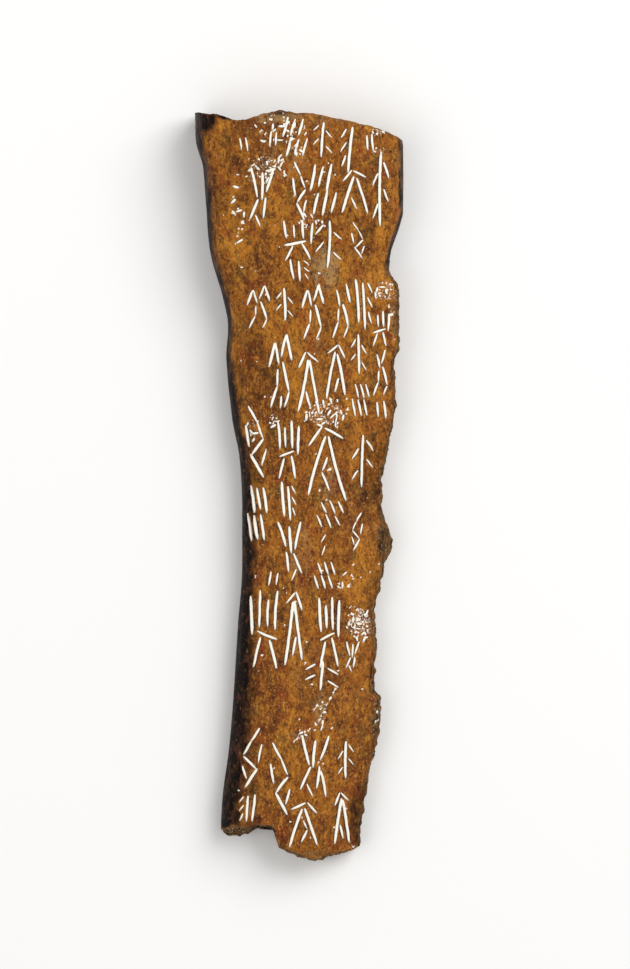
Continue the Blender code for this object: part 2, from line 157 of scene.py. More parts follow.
@dataclass(frozen=True)
class BoneForm:
    """The form of the fragment, with the same sizes and tables as its CAD solid.

    Heights and offsets in the tables are in hundredths of the length, and thicknesses are in metres. The
    crumbled edges of the breaks are finer than the solid's.
    """

    length: float
    socket_thickness: float = 20.5 * MM
    column_thickness: float = 12.5 * MM
    blade_thickness: float = 6.2 * MM
    crown_rise: float = 2.2 * MM
    back_roll: float = 5.0 * MM
    rim_roll: float = 3.0 * MM
    waist: float = 0.36
    left_edge: Table = (
        (0.0, -10.4), (8.0, -10.2), (17.4, -9.1), (31.7, -8.1), (38.0, -7.6), (48.0, -7.55),
        (54.0, -8.0), (58.7, -8.9), (66.6, -9.6), (71.4, -9.4), (75.0, -10.1), (80.9, -11.7),
        (87.3, -12.3), (92.5, -12.8), (95.2, -13.65), (99.0, -13.83), (100.0, -13.83),
    )
    right_edge: Table = (
        (0.0, 8.0), (4.7, 8.2), (12.6, 9.5), (17.0, 10.7), (21.8, 10.9), (22.8, 9.9), (28.5, 10.3),
        (33.3, 10.0), (36.5, 10.8), (39.6, 11.4), (41.2, 12.2), (42.8, 12.5), (44.4, 11.9), (46.0, 11.1),
        (50.8, 11.0), (54.2, 11.7), (57.1, 12.2), (60.3, 12.9), (66.6, 12.7), (68.2, 13.3), (76.2, 13.3),
        (78.6, 11.9), (81.2, 12.3), (84.1, 13.3), (86.0, 13.8), (95.2, 13.8), (100.0, 12.9),
    )
    top_edge: Table = (
        (0.0, 99.5), (0.12, 99.2), (0.18, 98.6), (0.25, 98.5), (0.33, 99.4), (0.42, 100.0),
        (0.50, 99.6), (0.58, 99.5), (0.68, 98.9), (0.78, 98.3), (0.88, 97.6), (0.95, 96.8), (1.0, 96.0),
    )
    foot_edge: Table = (
        (0.0, 3.8), (0.07, 3.3), (0.18, 3.6), (0.25, 4.3), (0.37, 4.2), (0.42, 1.8), (0.50, 1.1),
        (0.58, 0.5), (0.68, 0.0), (0.78, 0.6), (0.88, 1.1), (0.95, 1.4), (1.0, 2.2),
    )
    top_set_back: Table = (
        (0.0, 0.2), (0.25, 0.3), (0.33, 0.4), (0.42, 0.8), (0.50, 0.7), (0.58, 0.3), (1.0, 0.3),
    )
    foot_set_back: Table = (
        (0.0, 1.4), (0.18, 1.3), (0.25, 0.8), (0.37, 0.8), (0.42, 0.4), (1.0, 0.6),
    )
    side_set_back: Table = (
        (0.0, 0.3), (38.0, 0.4), (42.0, 0.9), (47.0, 0.3), (75.0, 0.4), (79.0, 0.0), (100.0, 0.0),
    )
    left_roll: Table = (
        (0.0, 9.5 * MM), (30.0, 8.5 * MM), (48.0, 5.8 * MM), (62.0, 6.2 * MM), (75.0, 4.2 * MM),
        (100.0, 4.5 * MM),
    )
    natural_rim: Table = ((0.0, 0.0), (76.5, 0.0), (80.0, 1.0), (100.0, 1.0))
    column_swell: Table = ((0.0, 0.0), (55.0, 0.08), (75.0, 0.35), (90.0, 0.85), (100.0, 1.0))
    blade_swell: Table = ((0.0, 0.0), (45.0, 0.05), (70.0, 0.22), (85.0, 0.45), (100.0, 0.55))
    wall_turn: float = math.radians(50)
    wall_waist: float = 0.4
    crumble_size: float = 2.8 * MM
    crumble_depth: float = 0.6 * MM
    crumble_rows: float = 1.4
    crumble_layers: tuple[float, float, int] = (0.8, 2.1, 4)
    top_crumble: float = 0.6

    @property
    def hundredth(self) -> float:
        """One hundredth of the length."""
        return self.length / 100

    def height_at(self, y: float) -> float:
        """Height in hundredths at a place along the bone."""
        return y / self.hundredth + 50

    def left(self, height: float) -> float:
        """X of the thick border at a height."""
        return smooth_between(self.left_edge, height) * self.hundredth

    def right(self, height: float) -> float:
        """X of the right side at a height."""
        return between(self.right_edge, height) * self.hundredth

    def crumble(self, along: float, through: float, seed: float) -> float:
        """How far a broken edge stands out at a place along it and through it, in metres."""
        place = Vector((along / self.crumble_size, self.crumble_rows * through, seed))
        return self.crumble_depth * noise.fractal(place, *self.crumble_layers)

    def ragged_right(self, height: float, through: float) -> float:
        """X of the right side at a height, with the raggedness of its broken part."""
        ragged = 1 - between(self.natural_rim, height)
        return self.right(height) + self.crumble(height * self.hundredth, through, 1.0) * ragged

    def thickness(self, across: float, height: float) -> float:
        """Thickness before the edges roll.

        Args:
            across: Share from the left side, 0, to the right side, 1.
            height: Height in hundredths.

        Returns:
            The thickness in metres.
        """
        column = self.column_thickness
        column += (self.socket_thickness - self.column_thickness) * between(self.column_swell, height)
        blade = self.blade_thickness
        blade += (self.socket_thickness - self.blade_thickness) * between(self.blade_swell, height)
        return column + (blade - column) * across + self.crown_rise * 4 * across * (1 - across)

    def rolled(self, distance: float, width: float) -> float:
        """How much of the full height a rolled edge leaves.

        Args:
            distance: How far in from the edge, in metres.
            width: How broad the roll is, in metres.

        Returns:
            A share from 0 at the edge to 1 past the roll.
        """
        if width == 0 or distance >= width:
            return 1.0
        return math.sqrt(max(0.0, 1 - (1 - max(distance, 0.0) / width) ** 2))

    def face(self, x: float, height: float, front: bool) -> float:
        """Z of the front or of the back.

        Args:
            x: Place across, in metres.
            height: Height in hundredths.
            front: The front, or else the back.

        Returns:
            Z in metres.
        """
        left, right = self.left(height), self.ragged_right(height, 1.0 if front else 0.0)
        thickness = self.thickness(min(max((x - left) / (right - left), 0.0), 1.0), height)
        rim = self.rim_roll * between(self.natural_rim, height)
        roll = between(self.left_roll, height) if front else self.back_roll
        share = self.rolled(x - left, roll) * self.rolled(right - x, rim)
        waist = self.waist * thickness
        return waist + (thickness - waist) * share if front else waist * (1 - share)

    def side_point(self, on_left: bool, through: float, height: float) -> tuple[float, float]:
        """Point of the left or the right side of the cross-section.

        Args:
            on_left: The thick border, or else the neck's edge and the break.
            through: Share from the back, 0, to the front, 1.
            height: Height in hundredths.

        Returns:
            Its X and Z.
        """
        natural = 1.0 if on_left else between(self.natural_rim, height)
        turn = self.wall_turn + (math.pi / 2 - self.wall_turn) * (1 - natural)
        upper = through > self.wall_waist
        if upper:
            angle = turn * (through - self.wall_waist) / (1 - self.wall_waist)
            roll = between(self.left_roll, height) if on_left else self.rim_roll * natural
        else:
            angle = turn * (1 - through / self.wall_waist)
            roll = self.back_roll if on_left else self.rim_roll * natural
        inward = roll * (1 - math.cos(angle))
        left, right = self.left(height), self.ragged_right(height, through)
        thickness = self.thickness(inward / (right - left) if on_left else 1.0, height)
        waist = self.waist * thickness
        share = math.sin(angle)
        z = waist + (thickness - waist) * share if upper else waist * (1 - share)
        if on_left:
            return left + inward, z
        return right - inward - between(self.side_set_back, height) * self.hundredth * through, z

    def section_point(self, across: float, through: float, height: float) -> tuple[float, float]:
        """Point of the cross-section at a height, its inside filled evenly from its four sides.

        Args:
            across: Share from the left side, 0, to the right side, 1.
            through: Share from the back, 0, to the front, 1.
            height: Height in hundredths.

        Returns:
            Its X and Z.
        """
        if across in (0, 1):
            return self.side_point(across == 0, through, height)
        if through in (0, 1):
            near, far = (self.side_point(on_left, through, height)[0] for on_left in (True, False))
            x = near + (far - near) * across
            return x, self.face(x, height, through == 1)
        back, front = (self.section_point(across, end, height) for end in (0, 1))
        near, far = (
            [self.side_point(on_left, at, height) for at in (0, through, 1)] for on_left in (True, False)
        )
        point = []
        for axis in (0, 1):
            low, middle, high = (
                left[axis] + (right[axis] - left[axis]) * across for left, right in zip(near, far)
            )
            rows = back[axis] + (front[axis] - back[axis]) * through
            point.append(rows + middle - low - (high - low) * through)
        return point[0], point[1]

    def ends(self, x: float, height: float, through: float) -> tuple[float, float]:
        """Heights of the foot and of the top at a place across.

        Args:
            x: Place across, in metres.
            height: A height near which the place is.
            through: Share from the back, 0, to the front, 1.

        Returns:
            The two heights in hundredths.
        """
        left, right = self.left(height), self.right(height)
        across = min(max((x - left) / (right - left), 0.0), 1.0)
        foot = between(self.foot_edge, across) + between(self.foot_set_back, across) * through
        top = between(self.top_edge, across) - between(self.top_set_back, across) * through
        foot += self.crumble(x, through, 2.0) / self.hundredth
        top += self.top_crumble * self.crumble(x, through, 3.0) / self.hundredth
        return foot, top

    def point(self, across: float, along: float, through: float) -> Vector:
        """Point of the bone.

        Args:
            across: Share from the left side, 0, to the right side, 1.
            along: Share from the foot, 0, to the top, 1.
            through: Share from the back, 0, to the front, 1.

        Returns:
            The point in metres.
        """
        guess = along * 100
        x, _ = self.section_point(across, through, guess)
        foot, top = self.ends(x, guess, through)
        height = foot + (top - foot) * along
        x, z = self.section_point(across, through, height)
        return Vector((x, (height - 50) * self.hundredth, z))

    def inside_front(self, x: float, y: float, margin: float) -> bool:
        """Whether a place lies on the front.

        Args:
            x: Place across, in metres.
            y: Place along, in metres.
            margin: How far it has to be clear of the edges, in metres.

        Returns:
            True if it does.
        """
        height = self.height_at(y)
        left = self.left(height) + margin
        right = self.right(height) - between(self.side_set_back, height) * self.hundredth - margin
        if not left < x < right:
            return False
        across = (x - left) / (right - left)
        foot = between(self.foot_edge, across) + between(self.foot_set_back, across)
        top = between(self.top_edge, across) - between(self.top_set_back, across)
        return foot + margin / self.hundredth < height < top - margin / self.hundredth


class Motif(Enum):
    """The groups of separate strokes that stand where the signs do. None of them is a letter."""

    RAIN = "rain"
    ARCH = "arch"
    SHEAF = "sheaf"
    THORNS = "thorns"
    WEAVE = "weave"
    CREST = "crest"
    FENCE = "fence"
    FALL = "fall"
    DASHES = "dashes"

    def strokes(self, draw: random.Random) -> list[Ends]:
        """Return the strokes as their two ends in a unit square around the middle.

        Args:
            draw: Where its small differences come from.

        Returns:
            The ends of each stroke: x, y, x, y.
        """
        if self is Motif.RAIN:
            strokes = []
            for row, places in ((0.27, (-0.42, -0.12, 0.18)), (-0.26, (-0.30, 0.02, 0.34))):
                for place in places:
                    reach = draw.uniform(0.17, 0.24)
                    strokes.append((place - 0.07, row - reach, place + 0.09, row + reach))
            return strokes
        if self is Motif.ARCH:
            foot = draw.uniform(-0.50, -0.38)
            strokes = [(-0.08, 0.30, -0.46, foot), (0.08, 0.30, 0.46, -0.48), (0.00, 0.06, -0.12, -0.12)]
            return strokes + [
                (-0.46, 0.26, -0.16, 0.50), (-0.04, 0.50, 0.40, 0.36), (-0.12, -0.17, 0.06, -0.42),
            ]
        if self is Motif.SHEAF:
            strokes = [(-0.40, 0.50, -0.20, 0.06), (0.02, 0.42, draw.uniform(-0.06, 0.02), 0.00)]
            strokes += [(0.44, 0.50, 0.18, 0.12), (-0.16, -0.04, -0.44, -0.36), (0.14, -0.02, 0.06, -0.34)]
            return strokes + [(0.20, -0.10, draw.uniform(0.34, 0.46), -0.50), (-0.24, -0.32, -0.08, -0.50)]
        if self is Motif.THORNS:
            lean = draw.uniform(-0.08, 0.08)
            strokes = [(lean, 0.50, -lean, -0.50)]
            for side, place in ((-1, 0.36), (1, 0.18), (-1, -0.06), (1, -0.30)):
                strokes.append((side * 0.22, place + 0.08, side * 0.50, place - draw.uniform(0.06, 0.14)))
            return strokes
        if self is Motif.WEAVE:
            reach = draw.uniform(0.30, 0.44)
            strokes = [(0.34, 0.50, -0.04, 0.29), (-0.08, 0.26, -reach, 0.06), (-reach, 0.01, 0.16, -0.19)]
            return strokes + [
                (0.20, -0.22, -0.30, -0.50), (0.46, 0.20, 0.32, -0.06), (-0.46, -0.16, -0.28, -0.36),
            ]
        if self is Motif.CREST:
            strokes = [(-0.50, 0.18, -0.31, 0.50), (-0.25, 0.49, -0.06, 0.22), (0.06, 0.12, 0.20, 0.39)]
            strokes += [(0.26, 0.38, 0.48, 0.08), (-0.14, 0.10, -0.38, -0.27), (0.10, 0.02, 0.12, -0.20)]
            return strokes + [(0.15, -0.24, 0.40, -0.50), (-0.38, -0.31, draw.uniform(-0.26, -0.16), -0.50)]
        if self is Motif.FENCE:
            strokes = [(-0.46, 0.48, -0.38, draw.uniform(0.00, 0.08)), (-0.15, 0.38, -0.12, 0.08)]
            strokes += [(0.14, 0.50, 0.17, 0.08), (0.46, 0.42, 0.42, -0.04), (-0.38, -0.12, 0.22, -0.02)]
            return strokes + [(-0.20, -0.18, -0.40, -0.50), (0.14, -0.12, draw.uniform(0.24, 0.40), -0.48)]
        if self is Motif.FALL:
            strokes = [(-0.34, 0.50, -0.20, -0.40), (0.02, 0.42, draw.uniform(0.04, 0.18), -0.50)]
            strokes += [(0.26, 0.46, 0.46, 0.26), (0.27, 0.12, 0.48, -0.08)]
            return strokes + [(0.30, -0.20, 0.44, -0.44)]
        lean = draw.uniform(0.10, 0.20)
        return [(-0.30 - lean, 0.42, -0.30, -0.34), (0.24, 0.50, 0.30 + lean, -0.40)]


@dataclass(frozen=True)
class Stroke:
    """One cut stroke: its two ends seen from above and its width in the middle."""

    start: Vector
    end: Vector
    width: float

    def half_width(self, share: float) -> float:
        """Half the width of its boat-shaped cut at a share of its length."""
        return self.width * min(share, 1 - share)

    def clear_of(self, other: "Stroke", gap: float) -> bool:
        """Whether its cut stays clear of another's, from its own points to the other's line.

        Args:
            other: The other stroke.
            gap: The least gap between the two cuts, in metres.

        Returns:
            True if it does.
        """
        for share in (0.0, 0.25, 0.5, 0.75, 1.0):
            point = self.start.lerp(self.end, share)
            _, beside = geometry.intersect_point_line(point, other.start, other.end)
            beside = min(max(beside, 0.0), 1.0)
            reach = self.half_width(share) + other.half_width(beside)
            if (point - other.start.lerp(other.end, beside)).length < reach + gap:
                return False
        return True

    def distance(self, other: "Stroke") -> float:
        """Least distance between the two centre lines.

        Args:
            other: The other stroke.

        Returns:
            The distance in metres, 0 where they cross.
        """
        if self.crosses(other):
            return 0.0
        nearest = math.inf
        for points, line in ((self, other), (other, self)):
            for point in (points.start, points.end):
                _, share = geometry.intersect_point_line(point, line.start, line.end)
                beside = line.start.lerp(line.end, min(max(share, 0.0), 1.0))
                nearest = min(nearest, (point - beside).length)
        return nearest

    def crosses(self, other: "Stroke") -> bool:
        """Whether the two centre lines cross."""
        return bool(geometry.intersect_line_line_2d(self.start, self.end, other.start, other.end))


@dataclass(frozen=True)
class Inscription:
    """The rows of strokes on the front, in the places that the CAD solid gives them."""

    form: BoneForm
    stroke_width: float = 1.5 * MM
    full_stroke: float = 6.0 * MM
    stroke_gap: float = 0.2 * MM
    edge_margin: float = 1.2 * MM
    trimmed: float = 0.86
    thinnest: float = 0.55
    pressure: tuple[float, float] = (0.9, 1.1)
    overrun: float = 0.13
    tail_shares: tuple[float, float] = (0.3, 1.0)
    tail_margin: float = 0.7 * MM
    signs: tuple[tuple[Motif, float, float, float, float], ...] = (
        (Motif.SHEAF, -4.9, 88.0, 3.4, 7.3), (Motif.CREST, -5.4, 73.6, 2.9, 5.4),
        (Motif.WEAVE, -5.7, 55.9, 2.8, 9.0), (Motif.RAIN, -5.6, 46.3, 2.6, 6.9),
        (Motif.FENCE, -4.6, 30.9, 3.8, 9.6), (Motif.WEAVE, -6.2, 14.0, 2.7, 7.6),
        (Motif.FALL, -6.7, 7.2, 2.5, 3.4), (Motif.DASHES, -7.3, 95.0, 1.0, 1.7),
        (Motif.DASHES, -3.4, 95.7, 1.0, 2.1), (Motif.RAIN, -0.4, 96.0, 3.4, 5.0),
        (Motif.WEAVE, 0.1, 88.9, 1.9, 7.5), (Motif.FENCE, -0.1, 82.4, 4.1, 5.0),
        (Motif.FALL, -0.1, 78.5, 3.0, 2.6), (Motif.THORNS, -1.9, 73.9, 2.1, 3.6),
        (Motif.CREST, -2.5, 65.1, 3.0, 9.3), (Motif.DASHES, -2.9, 61.0, 1.4, 1.9),
        (Motif.FENCE, -1.4, 54.7, 3.0, 7.2), (Motif.FALL, -1.5, 47.9, 2.2, 4.3),
        (Motif.SHEAF, -1.2, 41.2, 3.4, 7.3), (Motif.DASHES, -3.4, 37.6, 1.3, 1.8),
        (Motif.ARCH, -0.7, 31.3, 2.3, 8.8), (Motif.WEAVE, -2.5, 11.2, 2.7, 9.2),
        (Motif.ARCH, 0.6, 5.2, 3.7, 5.4), (Motif.THORNS, 3.1, 95.7, 2.4, 4.2),
        (Motif.RAIN, 3.3, 89.0, 3.6, 6.6), (Motif.THORNS, 3.9, 82.0, 3.3, 5.5),
        (Motif.CREST, 1.8, 73.0, 2.8, 7.0), (Motif.ARCH, 1.3, 63.7, 2.8, 7.7),
        (Motif.CREST, 5.5, 73.1, 2.5, 6.8), (Motif.ARCH, 4.9, 65.2, 2.5, 6.6),
        (Motif.ARCH, 3.7, 53.1, 5.0, 8.9), (Motif.RAIN, 4.0, 46.2, 3.8, 3.4),
        (Motif.FALL, 4.2, 42.9, 2.6, 4.6), (Motif.RAIN, 3.3, 38.1, 2.9, 3.4),
        (Motif.FENCE, 4.0, 30.6, 2.9, 8.8), (Motif.THORNS, 3.0, 24.8, 4.2, 3.4),
        (Motif.SHEAF, 2.1, 12.8, 4.1, 7.8), (Motif.FALL, 7.1, 94.6, 3.3, 5.4),
        (Motif.ARCH, 7.4, 88.9, 3.4, 5.3), (Motif.WEAVE, 7.8, 82.4, 1.8, 4.6),
        (Motif.FALL, 8.4, 74.1, 2.7, 5.8), (Motif.THORNS, 7.9, 67.3, 2.0, 4.6),
        (Motif.RAIN, 8.1, 61.4, 2.4, 4.2), (Motif.THORNS, 8.4, 53.3, 2.7, 5.9),
        (Motif.WEAVE, 7.7, 43.9, 1.5, 4.8), (Motif.SHEAF, 7.1, 27.3, 1.9, 3.8),
        (Motif.THORNS, 6.2, 13.6, 2.0, 4.4), (Motif.ARCH, 5.7, 6.0, 2.0, 6.4),
        (Motif.DASHES, 9.4, 95.3, 1.0, 2.2), (Motif.THORNS, 10.8, 89.0, 2.0, 8.2),
        (Motif.FENCE, 10.8, 70.8, 2.4, 4.5), (Motif.CREST, 10.8, 65.0, 2.3, 5.9),
        (Motif.DASHES, 10.9, 60.0, 1.4, 2.2),
    )

    def drawn(self) -> Iterator[Stroke]:
        """Draw the groups in their places.

        Yields:
            Every stroke of every group.
        """
        unit = self.form.hundredth
        for number, (motif, offset, height, width, tallness) in enumerate(self.signs):
            draw = random.Random(number)
            side = draw.choice((-1, 1))
            for x0, y0, x1, y1 in motif.strokes(draw):
                start, end = (
                    Vector(((offset + side * x * width) * unit, (height + y * tallness - 50) * unit))
                    for x, y in ((x0, y0), (x1, y1))
                )
                fullness = min(1.0, (end - start).length / self.full_stroke)
                thickness = self.stroke_width * (self.thinnest + 0.45 * fullness)
                yield Stroke(start, end, thickness * draw.uniform(*self.pressure))

    def cut(self) -> list[Stroke]:
        """Choose the strokes that are cut.

        Returns:
            Those on the front that stay clear of all before them.
        """
        kept: list[Stroke] = []
        for stroke in self.drawn():
            ends = (stroke.start, stroke.end)
            if not all(self.form.inside_front(*end, self.edge_margin) for end in ends):
                continue
            if all(
                not stroke.crosses(other)
                and stroke.clear_of(other, self.stroke_gap)
                and other.clear_of(stroke, self.stroke_gap)
                for other in kept
            ):
                kept.append(stroke)
        return kept

    def tailed(self) -> list[Stroke]:
        """Lengthen the cut strokes by the thin tails that the knife left at their ends.

        Returns:
            The strokes as the visual bone has them.
        """
        lines = []
        for number, stroke in enumerate(self.cut()):
            draw = random.Random(500 + number)
            ends = [stroke.start.copy(), stroke.end.copy()]
            run = ends[1] - ends[0]
            for i, away in ((0, -1), (1, 1)):
                tail = ends[i] + run * away * draw.uniform(*self.tail_shares) * self.overrun
                if self.form.inside_front(*tail, self.tail_margin):
                    ends[i] = tail
            lines.append(Stroke(*ends, stroke.width * self.trimmed))
        return lines


@dataclass(frozen=True)
class Weathering:
    """What burial, breaking and handling did to the faces of the bone, with painted shade and highlight.

    Patches are (offset, height, half width, half tallness, strength), in hundredths of the length. A fade is
    the two places between which something comes or goes. The shares of chalk, wear and pores say how much of
    each shows on a kind of place. The beads of the crack have a least and a middle share of its width. The
    sizes of the nicks are in millimetres.
    """

    form: BoneForm
    pit_spacing: float = 1.15 * MM
    pit_depth: float = 0.32 * MM
    pit_fade: tuple[float, float] = (0.12, 0.62)
    stray_pits: float = 0.02
    chalky_pits: float = 0.6
    pore_spacing: float = 1.4 * MM
    pore_depth: float = 0.45 * MM
    pore_fade: tuple[float, float] = (0.1, 0.62)
    dense_layer: float = 1.6 * MM
    dense_fade: tuple[float, float] = (0.4, 1.2)
    crack: Table = ((4.9, 23.2), (3.6, 20.9), (2.3, 18.2), (0.7, 17.3), (-0.8, 16.0))
    crack_depth: float = 0.35 * MM
    crack_width: float = 1.25 * MM
    crack_beads: Ripple = Ripple(1.1, 0.9 * MM, 8.1)
    bead_width: tuple[float, float] = (0.25, 0.65)
    swells: tuple[Ripple, ...] = (Ripple(0.22 * MM, 17 * MM, 1.0, 1.6), Ripple(0.10 * MM, 6 * MM, 2.0, 1.8))
    fibres: tuple[Ripple, ...] = (Ripple(0.05 * MM, 0.9 * MM, 3.0, 7.0), Ripple(0.035 * MM, 0.8 * MM, 5.0))
    lumps: Table = ((0.35 * MM, 1.9 * MM), (0.15 * MM, 0.8 * MM))
    nick_density: float = 1.1
    nick_half_lengths: tuple[float, float] = (0.35, 1.1)
    nick_widths: tuple[float, float] = (1.0, 1.85)
    nick_margin: float = 0.8 * MM
    chalk_in_pits: float = 0.9
    chalk_in_crack: float = 0.66
    chalk_on_patches: float = 0.52
    chalk_on_ends: float = 0.32
    chalk_on_side: float = 0.2
    rim_wear: float = 0.55
    flake_wear: float = 0.75
    flake_pores: float = 0.8
    clean_share: float = 0.5
    patch_fade: tuple[float, float] = (0.55, 1.15)
    chalky: Patches = (
        (10.5, 96.9, 1.2, 0.9, 0.9), (10.8, 94.2, 0.9, 0.8, 0.8), (-4.5, 92.0, 3.3, 2.1, 0.75),
        (-8.0, 85.8, 0.9, 4.6, 0.45), (11.6, 75.9, 1.9, 1.8, 0.85), (12.4, 73.3, 0.7, 1.1, 0.8),
        (3.6, 59.5, 3.2, 2.2, 0.85), (-3.3, 58.7, 0.9, 1.2, 0.9), (-6.0, 57.7, 1.2, 1.8, 0.7),
        (6.6, 37.2, 1.9, 1.4, 0.5), (8.1, 31.8, 2.0, 2.6, 0.95), (-3.2, 97.2, 3.8, 2.4, 0.55),
        (10.5, 19.6, 0.6, 2.6, 0.4), (-0.4, 96.0, 2.0, 2.9, 0.5), (1.6, 84.6, 2.2, 1.4, 0.7),
        (-5.8, 91.0, 1.6, 1.6, 0.6), (2.5, 19.4, 1.1, 2.4, 0.55), (0.4, 16.8, 1.3, 0.8, 0.6),
    )
    # Soil stain and painted shade, darkest where the rolled left border and the right rim turn from the
    # light.
    dark_band: Table = (
        (0.0, 8.8 * MM), (12.0, 8.4 * MM), (20.0, 6.9 * MM), (31.0, 6.6 * MM), (36.0, 4.8 * MM),
        (54.0, 3.8 * MM), (58.0, 3.0 * MM), (70.0, 1.9 * MM), (74.0, 1.8 * MM), (94.0, 2.0 * MM),
        (97.0, 3.8 * MM), (100.0, 4.8 * MM),
    )
    band_fade: tuple[float, float] = (0.2, 1.5)
    band_wander: tuple[Ripple, ...] = (
        Ripple(0.7 * MM, 9 * MM, 6.0, 2.0), Ripple(0.6 * MM, 1.6 * MM, 6.5, 4.0),
    )
    fringe: float = 0.85
    fringe_fade: tuple[float, float] = (0.4 * MM, 2.3 * MM)
    fringe_wander: Ripple = Ripple(0.5 * MM, 2.2 * MM, 6.7)
    pale_patch_unevenness: Ripple = Ripple(0.5, 3 * MM, 9.0, 2.0)
    # Paler grey patches: weathered places, and a painted highlight along the middle of the front.
    bleach_and_painted_highlight: Patches = (
        (-3.4, 99.0, 4.0, 1.6, 0.8), (3.4, 78.6, 2.4, 3.4, 0.85), (0.2, 41.0, 1.7, 5.8, 0.5),
        (3.8, 50.5, 1.6, 4.6, 0.45), (2.4, 98.6, 4.6, 1.1, 0.5), (-2.2, 92.8, 3.8, 3.4, 0.4),
        (1.2, 26.0, 3.4, 4.0, 0.25), (2.2, 68.0, 1.3, 9.0, 0.3), (2.8, 20.2, 0.9, 2.8, 0.75),
        (0.2, 16.9, 1.8, 0.8, 0.65),
    )
    # Dark patches: soot-dark stains, and painted shadow in the foot's notch, the top-left corner and behind
    # the top rim.
    soot_and_painted_shadow: Patches = (
        (-12.9, 98.8, 2.5, 2.6, 1.0), (11.8, 42.6, 2.2, 4.2, 0.44), (8.4, 6.0, 2.2, 6.5, 0.6),
        (9.8, 14.0, 1.4, 8.0, 0.35), (10.6, 35.0, 1.4, 5.0, 0.4), (-2.6, 100.1, 2.0, 1.4, 1.0),
        (-5.5, 66.0, 4.5, 8.0, 0.36), (9.9, 50.0, 2.8, 9.0, 0.38), (-9.4, 90.0, 4.4, 9.0, 0.32),
        (1.0, 3.5, 7.0, 4.0, 0.32), (4.5, 58.0, 4.0, 3.0, 0.22), (-1.0, 47.0, 3.0, 5.0, 0.24),
        (9.0, 88.0, 3.4, 7.0, 0.28), (-4.4, 4.0, 1.7, 0.9, 1.0), (-8.9, 99.0, 2.6, 0.9, 1.0),
        (-6.4, 49.0, 2.3, 9.0, 0.5), (-7.4, 7.5, 2.8, 7.5, 0.45),
    )
    flaked: Patches = (
        (12.0, 42.6, 2.3, 3.9, 1.0), (13.2, 72.4, 1.4, 4.2, 0.8), (-2.0, 99.4, 4.6, 1.3, 0.7),
        (6.5, 98.2, 6.0, 1.1, 0.5), (-12.8, 98.6, 1.8, 2.4, 0.6), (-8.4, 3.8, 2.6, 1.5, 0.8),
        (2.4, 0.8, 5.2, 1.3, 0.7), (8.6, 4.0, 1.2, 3.0, 0.6), (10.5, 18.7, 1.1, 4.2, 1.0),
    )
    flake_depth: float = 0.4 * MM
    flake_unevenness: tuple[Ripple, ...] = (Ripple(0.4, 1.7 * MM, 15.0), Ripple(0.3, 0.9 * MM, 16.0))

    def patch(self, patches: Patches, x: float, y: float) -> float:
        """Strength of the strongest patch at a place seen from above.

        Args:
            patches: The patches to look in.
            x: Place across, in metres.
            y: Place along, in metres.

        Returns:
            The strength, from 0 to 1.
        """
        offset, height = x / self.form.hundredth, self.form.height_at(y)
        strongest = 0.0
        for middle, level, wide, tall, strength in patches:
            reach = math.hypot((offset - middle) / wide, (height - level) / tall)
            strongest = max(strongest, strength * (1 - ease(*self.patch_fade, reach)))
        return strongest

    def chalkiness(self, x: float, y: float) -> float:
        """How much white soil clings to a place of the front, from 0 to 1."""
        return self.patch(self.chalky, x, y)

    def nicks(self) -> list[Stroke]:
        """Draw the small scratches in the chalky patches.

        Returns:
            The scratches, which caught the same white filler as the cut strokes.
        """
        unit = self.form.hundredth
        draw = random.Random(77)
        nicks = []
        for offset, height, wide, tall, strength in self.chalky:
            for _ in range(round(math.pi * wide * tall * strength * self.nick_density)):
                reach, turn = math.sqrt(draw.random()) * 0.95, draw.uniform(0, math.tau)
                across = offset + wide * reach * math.cos(turn)
                along = height - 50 + tall * reach * math.sin(turn)
                middle = Vector((across, along)) * unit
                slant, length = draw.uniform(0, math.pi), draw.uniform(*self.nick_half_lengths) * MM
                half = Vector((math.cos(slant), math.sin(slant))) * length
                nick = Stroke(middle - half, middle + half, draw.uniform(*self.nick_widths) * MM)
                if all(self.form.inside_front(*end, self.nick_margin) for end in (nick.start, nick.end)):
                    nicks.append(nick)
        return nicks

    def pit(self, x: float, y: float) -> float:
        """How deep a place lies in one of the small pits of the front.

        Args:
            x: Place across, in metres.
            y: Place along, in metres.

        Returns:
            A share from 0 to 1.
        """
        density = self.stray_pits + self.chalky_pits * self.chalkiness(x, y)
        spot = Vector((x / self.pit_spacing, y / self.pit_spacing, 4.2))
        distances, centres = noise.voronoi(spot)
        if abs(noise.cell(centres[0] * 7.3)) > density:
            return 0.0
        return 1 - ease(*self.pit_fade, distances[0])

    def crack_share(self, x: float, y: float) -> float:
        """How deep a place lies in the beaded crack near the foot.

        Args:
            x: Place across, in metres.
            y: Place along, in metres.

        Returns:
            A share from 0 to 1.
        """
        unit = self.form.hundredth
        place = Vector((x, y))
        nearest = math.inf
        for ends in zip(self.crack, self.crack[1:]):
            start, end = (Vector((offset * unit, (height - 50) * unit)) for offset, height in ends)
            _, share = geometry.intersect_point_line(place, start, end)
            nearest = min(nearest, (place - start.lerp(end, min(max(share, 0.0), 1.0))).length)
        least, middling = self.bead_width
        beads = max(least, middling + self.crack_beads.at(x, y))
        return max(0.0, 1 - nearest / (self.crack_width * beads))

    def swell(self, x: float, y: float) -> float:
        """Height of the broad unevenness of a face at a place, in metres."""
        return sum(ripple.at(x, y) for ripple in self.swells)

    def grain(self, x: float, y: float) -> float:
        """Height of the fibres and of the fine roughness of a face at a place, in metres."""
        return sum(ripple.at(x, y) for ripple in self.fibres)

    def pore(self, place: Vector) -> float:
        """How deep a place lies in a pore of the spongy inside, from 0 to 1."""
        distances, _ = noise.voronoi(place / self.pore_spacing)
        return 1 - ease(*self.pore_fade, distances[0])

